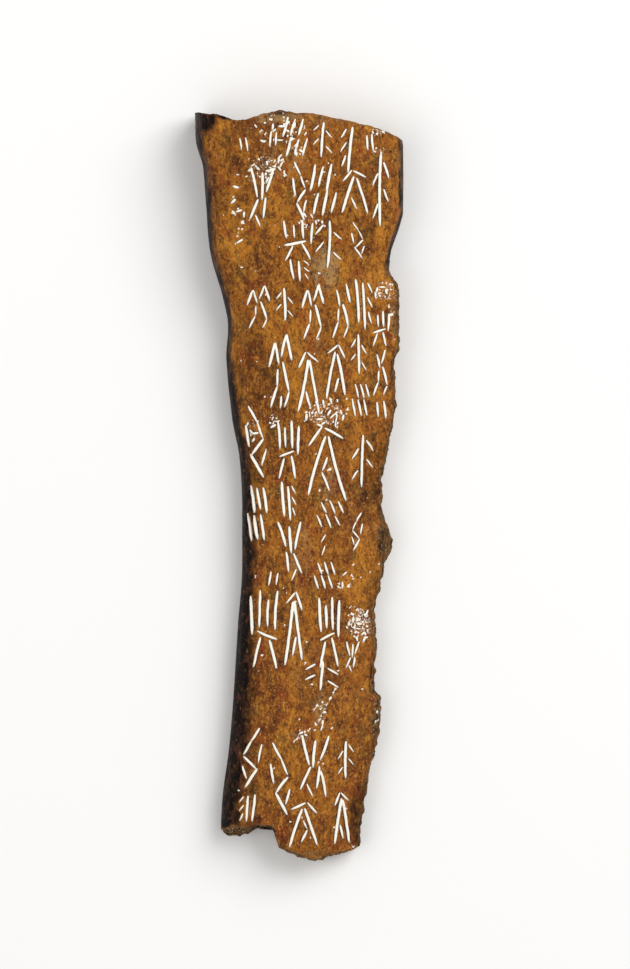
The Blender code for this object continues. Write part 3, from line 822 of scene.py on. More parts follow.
    def sponginess(self, place: Vector) -> float:
        """How far a place of a broken face lies inside the dense outer layer of the bone.

        Args:
            place: The place in metres.

        Returns:
            A share from 0 in the dense layer to 1 in the spongy inside.
        """
        height = self.form.height_at(place.y)
        under_front = self.form.face(place.x, height, True) - place.z
        cover = min(place.z, under_front, place.x - self.form.left(height))
        low, high = self.dense_fade
        return ease(low * self.dense_layer, high * self.dense_layer, cover)

    def broken_relief(self, place: Vector, pore: float) -> float:
        """Height of a broken face over the plain form at a point that lies so deep in a pore, in metres."""
        lumps = sum(height * noise.noise(place / size) for height, size in self.lumps)
        return lumps - self.pore_depth * pore

    def flaking(self, x: float, y: float) -> float:
        """How deep the skin of the bone has flaked off at a place of the front, from 0 to 1."""
        return self.patch(self.flaked, x, y) * sum((ripple.at(x, y) for ripple in self.flake_unevenness), 0.5)

    def darkness(self, x: float, y: float) -> float:
        """How dark a place of the front is: soil stain and painted shade.

        Args:
            x: Place across, in metres.
            y: Place along, in metres.

        Returns:
            A share from 0 to 1.
        """
        height = self.form.height_at(y)
        band = between(self.dark_band, height)
        inward = x - self.form.left(height) + sum(ripple.at(x, y) for ripple in self.band_wander)
        low, high = self.band_fade
        border = 1 - ease(low * band, high * band, inward)
        rim = self.form.right(height) - x + self.fringe_wander.at(x, y)
        fringe = self.fringe * (1 - ease(*self.fringe_fade, rim))
        return max(border, fringe, self.patch(self.soot_and_painted_shadow, x, y))

    def bleach_and_highlight(self, x: float, y: float) -> float:
        """How far a place of the front is painted paler grey, for weathering and a highlight, from 0 to 1."""
        return self.patch(self.bleach_and_painted_highlight, x, y) * (0.75 + self.pale_patch_unevenness.at(x, y))


def deselect_all() -> None:
    """Leave nothing selected, so that an operator acts on its own piece alone."""
    bpy.ops.object.select_all(action="DESELECT")


def select_only(piece: bpy.types.Object) -> None:
    """Select one piece and make it the active one.

    Args:
        piece: The piece.
    """
    deselect_all()
    piece.select_set(True)
    bpy.context.view_layer.objects.active = piece


def clean_shell(piece: bpy.types.Object) -> None:
    """Merge a piece's double points and turn all its faces outwards.

    Args:
        piece: The piece, a closed mesh.
    """
    select_only(piece)
    bpy.ops.object.mode_set(mode="EDIT")
    bpy.ops.mesh.select_all(action="SELECT")
    bpy.ops.mesh.remove_doubles(threshold=0.000001)
    bpy.ops.mesh.normals_make_consistent(inside=False)
    bpy.ops.object.mode_set(mode="OBJECT")


def joined(pieces: list[bpy.types.Object]) -> bpy.types.Object:
    """Join pieces into one.

    Args:
        pieces: The pieces.

    Returns:
        The first of them, with all the others in it.
    """
    deselect_all()
    for piece in pieces:
        piece.select_set(True)
    bpy.context.view_layer.objects.active = pieces[0]
    bpy.ops.object.join()
    return pieces[0]


def cut_away(target: bpy.types.Object, cutter: bpy.types.Object) -> None:
    """Take a cutter's shape out of a target, then throw the cutter away.

    Args:
        target: The piece that is cut.
        cutter: A closed shape. The cut faces take its material.
    """
    select_only(target)
    bpy.ops.object.modifier_add(type="BOOLEAN")
    boolean = target.modifiers[-1]
    boolean.operation = "DIFFERENCE"
    boolean.solver = "MANIFOLD"
    boolean.material_mode = "TRANSFER"
    boolean.object = cutter
    points = len(target.data.vertices)
    bpy.ops.object.modifier_apply(modifier=boolean.name)
    if len(target.data.vertices) < points:
        raise RuntimeError(f"{target.name} was spoilt by the cutter {cutter.name}")
    bpy.data.objects.remove(cutter, do_unlink=True)


def linear(code: str) -> tuple[float, float, float, float]:
    """Turn an sRGB hex colour into the linear one that a shader reads.

    Args:
        code: Six hex digits.

    Returns:
        Red, green, blue and full alpha.
    """
    shares = [int(code[i : i + 2], 16) / 255 for i in (0, 2, 4)]
    red, green, blue = (s / 12.92 if s <= 0.04045 else ((s + 0.055) / 1.055) ** 2.4 for s in shares)
    return red, green, blue, 1.0


def add_node(
    tree: bpy.types.NodeTree,
    kind: str,
    settings: dict[str, object] | None = None,
    links: Links | None = None,
) -> bpy.types.Node:
    """Add a node with its settings and links.

    Args:
        tree: The material's node tree.
        kind: The node's type.
        settings: Values by the name or number of an input, or else by the name of a property.
        links: Sockets to link from, by the name or number of the input.

    Returns:
        The new node.
    """
    node = tree.nodes.new(kind)
    for name, value in (settings or {}).items():
        if name.isdigit():
            node.inputs[int(name)].default_value = value
        elif hasattr(node, name):
            setattr(node, name, value)
        else:
            node.inputs[name].default_value = value
    for name, socket in (links or {}).items():
        tree.links.new(socket, node.inputs[int(name) if name.isdigit() else name])
    return node


@dataclass(frozen=True)
class Tint:
    """A colour that lies over the bone in soft patches.

    The patches have a size across the bone and are longer along it by the stretch. The colour is absent
    where the pattern is below the low value and has its full strength above the high one.
    """

    colour: str
    size: float
    stretch: float
    seed: float
    low: float
    high: float
    strength: float


@dataclass(frozen=True)
class Blend:
    """How a share that the mesh stores shows: how ragged a pattern makes it, and where it comes in."""

    raggedness: float
    low: float
    high: float


@dataclass(frozen=True)
class Shading:
    """A material's node tree, with the few patterns and mixes that the finishes are made of."""

    tree: bpy.types.NodeTree
    place: bpy.types.NodeSocket

    def pattern(self, size: float, stretch: float, seed: float) -> bpy.types.NodeSocket:
        """Return an irregular pattern whose patches have a real size.

        Args:
            size: Size of a patch across the bone, in metres.
            stretch: How many times longer it is along the bone.
            seed: Which pattern.

        Returns:
            The socket of its value, mostly between 0.3 and 0.7.
        """
        settings: dict[str, object] = {
            "Location": (seed, seed * 0.7, seed * 0.3), "Scale": (1 / size, 1 / (size * stretch), 1 / size),
        }
        moved = add_node(self.tree, "ShaderNodeMapping", settings, {"Vector": self.place})
        settings = {"Scale": 1.0, "Detail": 5.0, "Roughness": 0.62, "Distortion": 0.35}
        noises = add_node(self.tree, "ShaderNodeTexNoise", settings, {"Vector": moved.outputs[0]})
        return noises.outputs["Fac"]

    def rise(
        self, source: bpy.types.NodeSocket, low: float, high: float, base: float = 0.0, top: float = 1.0
    ) -> bpy.types.NodeSocket:
        """Return a socket that goes smoothly from base to top while its source goes from low to high.

        Args:
            source: The socket that it follows.
            low: The source's value where the rise starts.
            high: The source's value where it ends.
            base: The result up to low.
            top: The result from high on.

        Returns:
            The socket of the result.
        """
        settings = {
            "interpolation_type": "SMOOTHSTEP",
            "From Min": low, "From Max": high, "To Min": base, "To Max": top,
        }
        return add_node(self.tree, "ShaderNodeMapRange", settings, {"Value": source}).outputs["Result"]

    def stored(self, name: str) -> bpy.types.NodeSocket:
        """Return what the mesh stores under a name."""
        return add_node(self.tree, "ShaderNodeAttribute", {"attribute_name": name}).outputs["Fac"]

    def math(self, operation: str, first: object, second: object) -> bpy.types.NodeSocket:
        """Return the result of an operation on two values.

        Args:
            operation: The operation.
            first: A socket or a number.
            second: A socket or a number.

        Returns:
            The socket of the result.
        """
        values = {"0": first, "1": second}
        links = {name: value for name, value in values.items() if isinstance(value, bpy.types.NodeSocket)}
        settings = {name: value for name, value in values.items() if name not in links}
        return add_node(self.tree, "ShaderNodeMath", {"operation": operation, **settings}, links).outputs[0]

    def over(self, base: object, top: object, share: object) -> bpy.types.NodeSocket:
        """Return a base colour with a top colour over it by a share.

        Args:
            base: A socket or a hex colour.
            top: A socket or a hex colour.
            share: A socket or a number.

        Returns:
            The socket of the mixed colour.
        """
        values = {"0": share, "6": base, "7": top}
        links = {name: value for name, value in values.items() if isinstance(value, bpy.types.NodeSocket)}
        settings: dict[str, object] = {"data_type": "RGBA"}
        for name, value in values.items():
            if name not in links:
                settings[name] = linear(value) if isinstance(value, str) else value
        return add_node(self.tree, "ShaderNodeMix", settings, links).outputs[2]

    def tinted(self, base: object, tints: tuple[Tint, ...]) -> bpy.types.NodeSocket:
        """Return a base colour under a row of tints.

        Args:
            base: A socket or a hex colour.
            tints: The tints, from the lowest to the topmost.

        Returns:
            The socket of the tinted colour.
        """
        colour = base
        for tint in tints:
            pattern = self.pattern(tint.size, tint.stretch, tint.seed)
            share = self.rise(pattern, tint.low, tint.high, 0.0, tint.strength)
            colour = self.over(colour, tint.colour, share)
        return colour

    def shown(self, name: str, pattern: bpy.types.NodeSocket, blend: Blend) -> bpy.types.NodeSocket:
        """Return how far a share that the mesh stores shows.

        Args:
            name: The name that it is stored under.
            pattern: The pattern that makes it ragged.
            blend: How ragged it gets, and where it comes in.

        Returns:
            The socket of the result, from 0 to 1.
        """
        uneven = self.math("MULTIPLY", self.math("SUBTRACT", pattern, 0.5), blend.raggedness)
        return self.rise(self.math("ADD", self.stored(name), uneven), blend.low, blend.high)


def new_material(name: str) -> tuple[bpy.types.Material, Shading, bpy.types.Node]:
    """Start a material.

    Args:
        name: Its name.

    Returns:
        The material, its shading in the piece's own coordinates, and its shader.
    """
    material = bpy.data.materials.new(name)
    material.use_nodes = True
    place = add_node(material.node_tree, "ShaderNodeTexCoord").outputs["Object"]
    return material, Shading(material.node_tree, place), material.node_tree.nodes["Principled BSDF"]


@dataclass(frozen=True)
class BuriedBone:
    """Old cattle bone that lay in loess: dense outside, stained amber brown, dull with a faint polish.

    The soil gives it cloudy patches of ochre, rust and olive, the bone's own fibres streak it along its
    length, the rolled border is nearly black from soil stain and painted shade, paler grey patches are
    weathering and a painted highlight, and the broken faces show pale spongy walls round dark pores.
    """

    ground: str = "93571C"
    broad: tuple[Tint, ...] = (
        Tint("5E3117", 15 * MM, 2.0, 1.0, 0.46, 0.62, 0.75),
        Tint("B97726", 12 * MM, 2.2, 2.0, 0.50, 0.64, 0.75),
        Tint("7E3318", 5 * MM, 1.8, 3.0, 0.51, 0.66, 0.65),
        Tint("56431E", 4 * MM, 1.6, 4.0, 0.52, 0.66, 0.65),
    )
    # Pale grey: weathering, and a painted highlight along the middle of the front.
    grey_weathering_and_highlight: str = "A08258"
    fine: tuple[Tint, ...] = (
        Tint("4E2816", 2.8 * MM, 1.5, 9.0, 0.49, 0.65, 0.70),
        Tint("BE7F2C", 2.3 * MM, 1.6, 10.0, 0.51, 0.67, 0.60),
        Tint("422016", 1.1 * MM, 2.4, 5.0, 0.50, 0.66, 0.65),
        Tint("C2832B", 1.0 * MM, 2.2, 6.0, 0.53, 0.68, 0.60),
        Tint("3C1C15", 0.72 * MM, 1.3, 7.0, 0.51, 0.65, 0.68),
        Tint("CE974C", 0.62 * MM, 1.2, 8.0, 0.55, 0.68, 0.60),
    )
    # Near black: soil stain, and painted shade on the rolled border, the rims and the notches.
    dark_stain_and_shade: str = "0E0705"
    stain_and_shade_mottling: tuple[Tint, ...] = (
        Tint("4C2C1E", 2.6 * MM, 2.2, 11.0, 0.52, 0.65, 0.75),
        Tint("86603F", 0.85 * MM, 1.4, 12.0, 0.58, 0.70, 0.60),
    )
    spongy: str = "7E5A32"
    spongy_tints: tuple[Tint, ...] = (
        Tint("3A2414", 2.0 * MM, 1.0, 13.0, 0.45, 0.60, 0.85),
        Tint("BEA478", 0.75 * MM, 1.0, 14.0, 0.54, 0.68, 0.75),
    )
    pore: str = "20150D"
    chalk: str = "F3EDE0"
    bleach_and_highlight: Blend = Blend(1.2, 0.1, 0.9)
    breaking: Blend = Blend(0.8, 0.3, 0.75)
    stain_and_shade_blend: Blend = Blend(1.3, 0.12, 0.95)
    chalking: Blend = Blend(1.6, 0.5, 0.62)
    fleck_size: float = 0.6 * MM
    blotch_size: float = 2.2 * MM
    fibre_size: float = 0.8 * MM
    polished: float = 0.44
    worn: float = 0.66
    dusty: float = 0.92
    relief_depth: float = 0.12 * MM
    sheen: float = 0.07

    def material(self) -> bpy.types.Material:
        """Build the material of the bone's own faces.

        Soil stain with painted shade, and bleaching with a painted highlight, fade in by blotches, broken
        faces and chalk by flecks. Real fibres of bone are about a quarter of a millimetre wide, and are drawn
        coarser here, so that they show.

        Returns:
            The material.
        """
        material, shade, shader = new_material("buried_cattle_bone")
        fleck = shade.pattern(self.fleck_size, 1.0, 21.0)
        blotch = shade.pattern(self.blotch_size, 2.5, 22.0)

        colour = shade.tinted(self.ground, self.broad)
        # Paler grey by blotches: weathering and a painted highlight.
        colour = shade.over(colour, self.grey_weathering_and_highlight, shade.shown("bleach_and_painted_highlight", blotch, self.bleach_and_highlight))
        colour = shade.tinted(colour, self.fine)
        raw = shade.tinted(self.spongy, self.spongy_tints)
        raw = shade.over(raw, self.pore, shade.rise(shade.stored("pore"), 0.15, 0.8))
        colour = shade.over(colour, raw, shade.shown("broken", fleck, self.breaking))
        # The near-black mix is soil stain and painted shade.
        dark_stain_and_shade = shade.tinted(self.dark_stain_and_shade, self.stain_and_shade_mottling)
        colour = shade.over(colour, dark_stain_and_shade, shade.shown("stain_and_painted_shade", blotch, self.stain_and_shade_blend))
        chalk = shade.shown("chalky", fleck, self.chalking)
        colour = shade.over(colour, self.chalk, chalk)
        shade.tree.links.new(colour, shader.inputs["Base Color"])

        polish = shade.rise(blotch, 0.35, 0.65, self.polished, self.worn)
        dry = shade.math("MAXIMUM", shade.stored("broken"), chalk)
        roughness = shade.math("MAXIMUM", polish, shade.math("MULTIPLY", dry, self.dusty))
        shade.tree.links.new(roughness, shader.inputs["Roughness"])
        fibres = shade.pattern(self.fibre_size, 8.0, 23.0)
        relief = shade.math("ADD", shade.math("MULTIPLY", fibres, 0.8), fleck)
        settings = {"Strength": 0.4, "Distance": self.relief_depth}
        bump = add_node(shade.tree, "ShaderNodeBump", settings, {"Height": relief})
        shade.tree.links.new(bump.outputs[0], shader.inputs["Normal"])
        shader.inputs["Specular IOR Level"].default_value = self.sheen
        return material


@dataclass(frozen=True)
class Crust:
    """A dull crust of one colour with softer patches in it, for cuts, burnt hollows and white filler."""

    name: str
    ground: str
    tints: tuple[Tint, ...]
    roughness: float
    bump: float
    grit_size: float = 0.6 * MM

    def material(self) -> bpy.types.Material:
        """Build its material.

        Returns:
            The material.
        """
        material, shade, shader = new_material(self.name)
        shade.tree.links.new(shade.tinted(self.ground, self.tints), shader.inputs["Base Color"])
        grit = shade.pattern(self.grit_size, 1.0, 31.0)
        settings = {"Strength": 0.5, "Distance": self.bump}
        bump = add_node(shade.tree, "ShaderNodeBump", settings, {"Height": grit})
        shade.tree.links.new(bump.outputs[0], shader.inputs["Normal"])
        shader.inputs["Roughness"].default_value = self.roughness
        shader.inputs["Specular IOR Level"].default_value = 0.2
        return material


# Bone cut by a knife, with soil and painted shade on the cut's walls: a dark, dull line beside the white
# filling.
DIRT_AND_SHADE_CUT = Crust(
    "dirt_and_painted_shade_knife_cut", "2E1B0E", (Tint("5A3816", 0.9 * MM, 1.0, 41.0, 0.50, 0.66, 0.7),), 0.8, 0.05 * MM
)
# Bone scorched by embers: matt dark brown with sooty and less burnt patches.
SCORCHED_HOLLOW = Crust(
    "scorched_bone",
    "2A1B12",
    (
        Tint("6A4320", 3 * MM, 1.0, 42.0, 0.46, 0.62, 0.9),
        Tint("120D0A", 1.2 * MM, 1.0, 43.0, 0.52, 0.66, 0.8),
    ),
    0.85,
    0.2 * MM,
)
# Powdered chalk rubbed in with glue: bright, quite matt, with a few yellowed and dirty grains.
WHITE_PASTE = Crust(
    "white_paste",
    "F8F3E6",
    (
        Tint("D9C8A8", 0.9 * MM, 1.0, 44.0, 0.58, 0.72, 0.7),
        Tint("9A7A4C", 0.5 * MM, 1.0, 45.0, 0.64, 0.76, 0.6),
    ),
    0.92,
    0.08 * MM,
)


@dataclass(frozen=True)
class StrokeProfile:
    """A cross-section that runs along every stroke, as points across and up for a stroke 1 wide."""

    name: str
    points: tuple[tuple[float, float], ...]


CUT_PROFILE = StrokeProfile(
    "cut", ((-0.69, 0.30), (-0.35, -0.13), (-0.16, -0.50), (0.16, -0.50), (0.35, -0.13), (0.69, 0.30))
)
PASTE_PROFILE = StrokeProfile(
    "paste", ((-0.41, -0.17), (-0.30, -0.44), (0.30, -0.44), (0.41, -0.17), (0.15, -0.11), (-0.15, -0.11))
)


@dataclass
class Strokes:
    """The cut strokes as bodies along their own lines, for cutting them and for filling them."""

    lines: list[Stroke]
    surface: Callable[[float, float], float]
    step: float = 1.1 * MM
    wobble: float = 0.045 * MM
    bow: float = 0.025
    widths: tuple[float, float] = (0.92, 1.05)
    end_share: float = 0.5
    taper_length: float = 1.5 * MM
    longer_taper: float = 0.75
    reach_share: float = 0.72
    clearance: float = 0.3 * MM

    def layers(self) -> list[list[int]]:
        """Sort the strokes into layers, so that no two cuts of a layer touch.

        Returns:
            The strokes' numbers, layer by layer.
        """
        layers: list[list[int]] = []
        for number, stroke in enumerate(self.lines):
            for layer in layers:
                others = (self.lines[other] for other in layer)
                if all(stroke.distance(other) > self.reach(stroke, other) for other in others):
                    layer.append(number)
                    break
            else:
                layers.append([number])
        return layers

    def reach(self, first: Stroke, second: Stroke) -> float:
        """Return how near two strokes' lines may come before their cuts touch."""
        return self.reach_share * (first.width + second.width) + self.clearance

    def swept(self, profile: StrokeProfile, numbers: list[int]) -> bpy.types.Object:
        """Sweep a cross-section along some of the strokes.

        Args:
            profile: The cross-section.
            numbers: The numbers of the strokes.

        Returns:
            One closed mesh for each stroke, joined in one object at the origin.
        """
        section = self.section_curve(profile)
        deselect_all()
        bpy.ops.curve.primitive_nurbs_path_add(location=(0, 0, 0))
        swept = bpy.context.object
        swept.name = profile.name
        swept.data.splines.clear()
        swept.data.twist_mode = "Z_UP"
        swept.data.bevel_mode = "OBJECT"
        swept.data.bevel_object = section
        swept.data.use_fill_caps = True
        for number in numbers:
            self.add_line(swept.data, self.lines[number], number)
        select_only(swept)
        bpy.ops.object.convert(target="MESH")
        swept = bpy.context.object
        bpy.data.objects.remove(section, do_unlink=True)
        clean_shell(swept)
        return swept

    def section_curve(self, profile: StrokeProfile) -> bpy.types.Object:
        """Draw a cross-section.

        Args:
            profile: The cross-section.

        Returns:
            A closed flat curve.
        """
        deselect_all()
        bpy.ops.curve.primitive_nurbs_path_add(location=(0, 0, 0))
        section = bpy.context.object
        section.data.dimensions = "2D"
        section.data.splines.clear()
        outline = section.data.splines.new("POLY")
        outline.points.add(len(profile.points) - 1)
        for point, (across, up) in zip(outline.points, profile.points):
            point.co = (across, up, 0.0, 1.0)
        outline.use_cyclic_u = True
        return section

    def add_line(self, curve: bpy.types.Curve, stroke: Stroke, number: int) -> None:
        """Add a stroke's line, with its hand-cut wobble, to a curve.

        Args:
            curve: The curve that takes it.
            stroke: The stroke.
            number: Its number, which seeds the wobble.
        """
        draw = random.Random(1000 + number)
        run = stroke.end - stroke.start
        sideways = Vector((-run.y, run.x)).normalized()
        bow = draw.uniform(-self.bow, self.bow) * run.length
        steps = max(2, round(run.length / self.step))
        line = curve.splines.new("POLY")
        line.points.add(steps)
        for i, point in enumerate(line.points):
            share = i / steps
            drift = bow * 4 * share * (1 - share)
            if 0 < i < steps:
                drift += draw.uniform(-self.wobble, self.wobble)
            place = stroke.start.lerp(stroke.end, share) + sideways * drift
            point.co = (place.x, place.y, self.surface(place.x, place.y), 1.0)
            from_end = min(share, (1 - share) * self.longer_taper) * run.length
            taper = self.end_share + (1 - self.end_share) * ease(0.0, self.taper_length, from_end)
            point.radius = stroke.width * taper * draw.uniform(*self.widths)


@dataclass
class Scapula:
    """The bone itself, modelled fine from one cube, cut, weathered and dressed.

    The tools' chatter is in millimetres, and the hollows' places are in hundredths of the length.
    """

    form: BoneForm
    weathering: Weathering
    strokes: Strokes
    cells: tuple[int, int, int] = (50, 90, 9)
    rim_fade: float = 0.04
    depth_fade: float = 0.3
    worn_end: float = 0.75
    smooth_angle: float = math.radians(50)
    socket_place: tuple[float, float, float] = (0.47, 1.0, 0.5)
    socket_half_sizes: tuple[float, float, float] = (21.0 * MM, 5.0 * MM, 6.2 * MM)
    chisel_half_sizes: tuple[float, float, float] = (3.3 * MM, 7.25 * MM, 3.5 * MM)
    drill_half_sizes: tuple[float, float, float] = (3.75 * MM, 3.75 * MM, 2.6 * MM)
    hollow_spacing: float = 0.84
    chatter: float = 0.25
    chatter_size: float = 1.8 * MM
    hollows: tuple[tuple[float, float], ...] = (
        (1.2, 12.0), (1.4, 24.5), (1.8, 37.0), (2.0, 49.5), (2.2, 62.0), (2.6, 74.5), (3.0, 87.0),
        (-5.6, 68.2), (-6.4, 80.8),
    )

    def build(self) -> bpy.types.Object:
        """Model, cut and dress the bone.

        Returns:
            The finished bone.
        """
        bone = self.blank()
        self.shape(bone)
        for finish in (BuriedBone(), SCORCHED_HOLLOW, DIRT_AND_SHADE_CUT):
            bone.data.materials.append(finish.material())
        cut_away(bone, self.socket())
        for tools in self.hollow_cutters():
            cut_away(bone, joined(tools))
        for layer in self.strokes.layers():
            grooves = self.strokes.swept(CUT_PROFILE, layer)
            grooves.data.materials.clear()
            grooves.data.materials.append(bpy.data.materials[DIRT_AND_SHADE_CUT.name])
            cut_away(bone, grooves)
        select_only(bone)
        bpy.ops.object.shade_smooth_by_angle(angle=self.smooth_angle)
        return bone

    def blank(self) -> bpy.types.Object:
        """Cut a unit cube into cells, twice as fine along it, then all but its back once more.

        Returns:
            The blank that the bone is shaped from.
        """
        deselect_all()
        bpy.ops.mesh.primitive_cube_add(size=1, location=(0.5, 0.5, 0.5))
        bone = bpy.context.object
        bone.name = "scapula_bone"
        bpy.ops.object.transform_apply(location=True, rotation=False, scale=False)
        for axis, cells in (*enumerate(self.cells), (1, 2)):
            self.select_edges_along(bone, axis)
            bpy.ops.object.mode_set(mode="EDIT")
            bpy.ops.mesh.subdivide(number_cuts=cells - 1)
            bpy.ops.object.mode_set(mode="OBJECT")
        bpy.ops.object.mode_set(mode="EDIT")
        bpy.ops.mesh.select_mode(type="FACE")
        bpy.ops.mesh.select_all(action="DESELECT")
        bpy.ops.object.mode_set(mode="OBJECT")
        for face in bone.data.polygons:
            face.select = face.normal.z > -0.5
        bpy.ops.object.mode_set(mode="EDIT")
        bpy.ops.mesh.subdivide(number_cuts=1)
        bpy.ops.object.mode_set(mode="OBJECT")
        return bone

    def select_edges_along(self, bone: bpy.types.Object, axis: int) -> None:
        """Select only the edges that run along one axis.

        Args:
            bone: The blank.
            axis: The axis, 0 to 2.
        """
        bpy.ops.object.mode_set(mode="EDIT")
        bpy.ops.mesh.select_mode(type="EDGE")
        bpy.ops.mesh.select_all(action="DESELECT")
        bpy.ops.object.mode_set(mode="OBJECT")
        for edge in bone.data.edges:
            first, second = (bone.data.vertices[i].co for i in edge.vertices)
            edge.select = abs(first[axis] - second[axis]) > 0.0001

    def shape(self, bone: bpy.types.Object) -> None:
        """Move every point of the blank into place, weather it and store what the finish reads.

        Args:
            bone: The blank, which becomes the bone.
        """
        mesh = bone.data
        shares = [vertex.co.copy() for vertex in mesh.vertices]
        for vertex, share in zip(mesh.vertices, shares):
            vertex.co = self.form.point(*share)
        mesh.update()
        normals = [vertex.normal.copy() for vertex in mesh.vertices]
        stores = {name: [0.0] * len(shares) for name in ("stain_and_painted_shade", "chalky", "broken", "pore", "bleach_and_painted_highlight")}
        for number, (vertex, share, normal) in enumerate(zip(mesh.vertices, shares, normals)):
            self.weather(vertex, share, normal, stores, number)
        for name, values in stores.items():
            mesh.attributes.new(name, "FLOAT", "POINT").data.foreach_set("value", values)
        mesh.update()

    def brokenness(self, share: Vector, height: float) -> float:
        """How far a point lies on a broken face.

        Args:
            share: Its place in the unit cube.
            height: Height in hundredths.

        Returns:
            A share from 0 to 1.
        """
        if share.y in (0.0, 1.0):
            return 1.0 if share.y == 0 else self.worn_end
        if share.x == 1.0:
            return 1 - between(self.form.natural_rim, height)
        return 0.0

    def weather(
        self,
        vertex: bpy.types.MeshVertex,
        share: Vector,
        normal: Vector,
        stores: dict[str, list[float]],
        number: int,
    ) -> None:
        """Give one point its relief, its stains and its painted shade and highlight.

        Args:
            vertex: The point.
            share: Its place in the unit cube.
            normal: The face's direction there.
            stores: The lists that take its stains.
            number: Its number in those lists.
        """
        x, y, z = vertex.co
        wear = self.weathering
        broken = self.brokenness(share, self.form.height_at(y))
        from_rim = min(share.x, 1 - share.x, 4 * share.y, 4 * (1 - share.y))
        inside = ease(0.0, self.rim_fade, from_rim)
        relief = wear.swell(x, y) + wear.grain(x + z, y)
        flaked = wear.patch(wear.flaked, x, y)
        if share.z > 0:
            if flaked > 0:
                relief -= wear.flake_depth * wear.flaking(x, y)
            # Near black: soil stain, and painted shade on the rolled border, the right rim and the notches.
            soot_and_painted_shadow, stain_and_painted_shade = wear.patch(wear.soot_and_painted_shadow, x, y), wear.darkness(x, y)
            stores["stain_and_painted_shade"][number] = max(soot_and_painted_shadow, stain_and_painted_shade * (1 - wear.clean_share * broken))
            # Paler grey: weathering, and a painted highlight along the middle.
            stores["bleach_and_painted_highlight"][number] = wear.bleach_and_highlight(x, y)
        if share.z == 1.0:
            pit, crack, chalky = wear.pit(x, y), wear.crack_share(x, y), wear.chalkiness(x, y)
            relief -= (wear.pit_depth * pit + wear.crack_depth * crack) * inside
            stores["chalky"][number] = max(
                wear.chalk_in_pits * pit, wear.chalk_in_crack * crack, wear.chalk_on_patches * chalky
            )
            stores["broken"][number] = max(wear.rim_wear * broken, wear.flake_wear * flaked)
            stores["pore"][number] = wear.flake_pores * flaked * wear.pore(vertex.co)
        else:
            chalk = wear.chalk_on_ends if share.y in (0.0, 1.0) else wear.chalk_on_side
            stores["chalky"][number] = chalk * broken
            stores["broken"][number] = broken
        if share.z == 0.0:
            vertex.co.z = max(z + relief * inside, 0.0)
        elif share.z == 1.0:
            vertex.co.z += relief
        elif broken > 0.0:
            pore = wear.pore(vertex.co) * wear.sponginess(vertex.co)
            stores["pore"][number] = pore
            outward = Vector((normal.x, normal.y, 0.0)).normalized()
            deep = ease(0.0, self.depth_fade, min(share.z, 1 - share.z))
            vertex.co += outward * wear.broken_relief(vertex.co, pore) * broken * deep
            vertex.co.z += relief * share.z
        else:
            vertex.co += Vector((normal.x, normal.y, 0.0)) * relief

    def rounded_tool(
        self, name: str, centre: Vector, half_sizes: tuple[float, float, float], material: str
    ) -> bpy.types.Object:
        """Return a slightly uneven ellipsoid that leaves its material on what it cuts.

        Args:
            name: Its name.
            centre: Its middle.
            half_sizes: Its half sizes along X, Y and Z.
            material: The name of its material.

        Returns:
            The cutter.
        """
        deselect_all()
        bpy.ops.mesh.primitive_uv_sphere_add(segments=32, ring_count=18, radius=1, location=centre)
        tool = bpy.context.object
        tool.name = name
        tool.scale = half_sizes
        bpy.ops.object.transform_apply(location=True, rotation=False, scale=True)
        for vertex in tool.data.vertices:
            outward = (vertex.co - centre).normalized()
            vertex.co += outward * self.chatter * MM * noise.noise(vertex.co / self.chatter_size)
        tool.data.materials.append(bpy.data.materials[material])
        return tool

    def socket(self) -> bpy.types.Object:
        """Return the cutter of the joint's worn cup."""
        rim = self.form.point(*self.socket_place)
        return self.rounded_tool("socket", rim, self.socket_half_sizes, "buried_cattle_bone")

    def hollow_cutters(self) -> Iterator[list[bpy.types.Object]]:
        """Make the cutters of the hollows in the back.

        Yields:
            Those of the chiselled hollows, then those of the drilled ones beside them.
        """
        unit = self.form.hundredth
        centres = [Vector((offset * unit, (height - 50) * unit, 0.0)) for offset, height in self.hollows]
        apart = (self.chisel_half_sizes[0] + self.drill_half_sizes[0]) * self.hollow_spacing
        beside = Vector((apart, 0.0, 0.0))
        burnt = SCORCHED_HOLLOW.name
        yield [self.rounded_tool("chisel", at, self.chisel_half_sizes, burnt) for at in centres]
        yield [self.rounded_tool("drill", at + beside, self.drill_half_sizes, burnt) for at in centres]


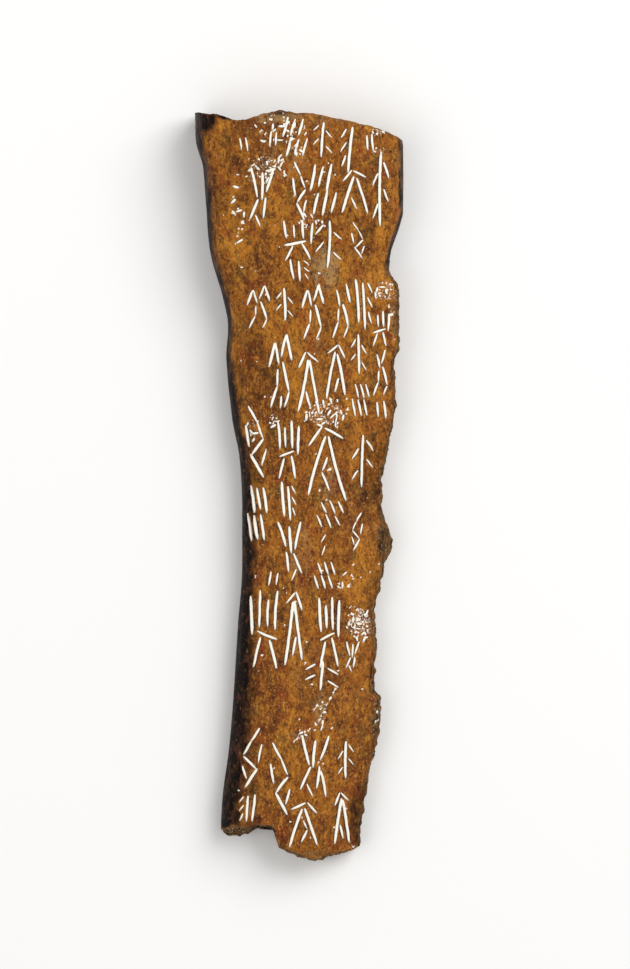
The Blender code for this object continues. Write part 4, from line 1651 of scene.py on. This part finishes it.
@dataclass(frozen=True)
class Studio:
    """A pale floor, soft lights and a camera that looks straight down on the bone."""

    camera_height: float = 2.5
    frame_height: float = 292.6 * MM
    sensor: float = 36.0
    aim: tuple[float, float] = (4.83 * MM, 0.3 * MM)
    front_height: float = 12.0 * MM
    floor_side: float = 6.0
    floor_colour: str = "F4F3F1"
    air_strength: float = 0.52
    softboxes: tuple[tuple[str, tuple[float, float, float], float, float], ...] = (
        ("key_light", (1.0, 0.9, 1.3), 1.3, 25.0), ("fill_light", (-1.3, -0.3, 1.3), 1.4, 9.0),
    )

    def build(self) -> None:
        """Set up the floor, the lights, the surroundings and the camera."""
        self.floor()
        for name, place, size, power in self.softboxes:
            self.softbox(name, place, size, power)
        world = bpy.data.worlds.new("studio_air")
        world.use_nodes = True
        background = world.node_tree.nodes["Background"]
        background.inputs["Color"].default_value = linear("FFFFFF")
        background.inputs["Strength"].default_value = self.air_strength
        bpy.context.scene.world = world
        bpy.context.scene.view_settings.view_transform = "Standard"
        self.camera()

    def floor(self) -> None:
        """Lay the floor, which isn't part of the object."""
        deselect_all()
        bpy.ops.mesh.primitive_plane_add(size=self.floor_side, location=(0, 0, 0))
        floor = bpy.context.object
        floor.name = "floor"
        # Uncoated white paper: matt and even, so that only the bone's soft shadow shows on it.
        material, _, shader = new_material("white_paper")
        shader.inputs["Base Color"].default_value = linear(self.floor_colour)
        shader.inputs["Roughness"].default_value = 0.9
        floor.data.materials.append(material)

    def softbox(self, name: str, place: tuple[float, float, float], size: float, power: float) -> None:
        """Hang a square soft light that faces the bone.

        Args:
            name: Its name.
            place: Where it hangs.
            size: Its side, in metres.
            power: Its power, in watts.
        """
        deselect_all()
        bpy.ops.object.light_add(type="AREA", location=place)
        lamp = bpy.context.object
        lamp.name = name
        lamp.data.size = size
        lamp.data.energy = power
        lamp.rotation_euler = (-Vector(place)).to_track_quat("-Z", "Y").to_euler()

    def camera(self) -> None:
        """Set the camera at the photograph's angle, with a long lens."""
        deselect_all()
        place = (self.aim[0], self.aim[1], self.front_height + self.camera_height)
        bpy.ops.object.camera_add(location=place, rotation=(0, 0, 0))
        camera = bpy.context.object
        camera.data.sensor_width = self.sensor
        camera.data.lens = self.sensor * self.camera_height / self.frame_height
        camera.data.clip_end = 20
        bpy.context.scene.camera = camera


def carry(piece: bpy.types.Object) -> None:
    """Let a piece ride with the bone's body and log how many triangles it has.

    Args:
        piece: The piece.
    """
    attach(piece, "root")
    faces = sum(len(face.vertices) - 2 for face in piece.data.polygons)
    log.info("%s: %d triangles", piece.name, faces)


def main() -> None:
    """Build the bone, fill its strokes and set up the studio."""
    logging.basicConfig(level=logging.INFO, format="%(message)s")
    low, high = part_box(NODE)
    form = BoneForm(length=high.y - low.y)
    weathering = Weathering(form)

    def surface(x: float, y: float) -> float:
        """Z of the uneven front, without its grain and its pits, where a stroke runs."""
        return form.face(x, form.height_at(y), True) + weathering.swell(x, y)

    strokes = Strokes(Inscription(form).tailed() + weathering.nicks(), surface)
    bone = Scapula(form, weathering, strokes).build()
    carry(bone)
    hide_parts(NODE)
    paste = strokes.swept(PASTE_PROFILE, list(range(len(strokes.lines))))
    paste.name = "white_filling"
    paste.data.materials.clear()
    paste.data.materials.append(WHITE_PASTE.material())
    carry(paste)
    Studio().build()


if __name__ == "__main__":
    main()
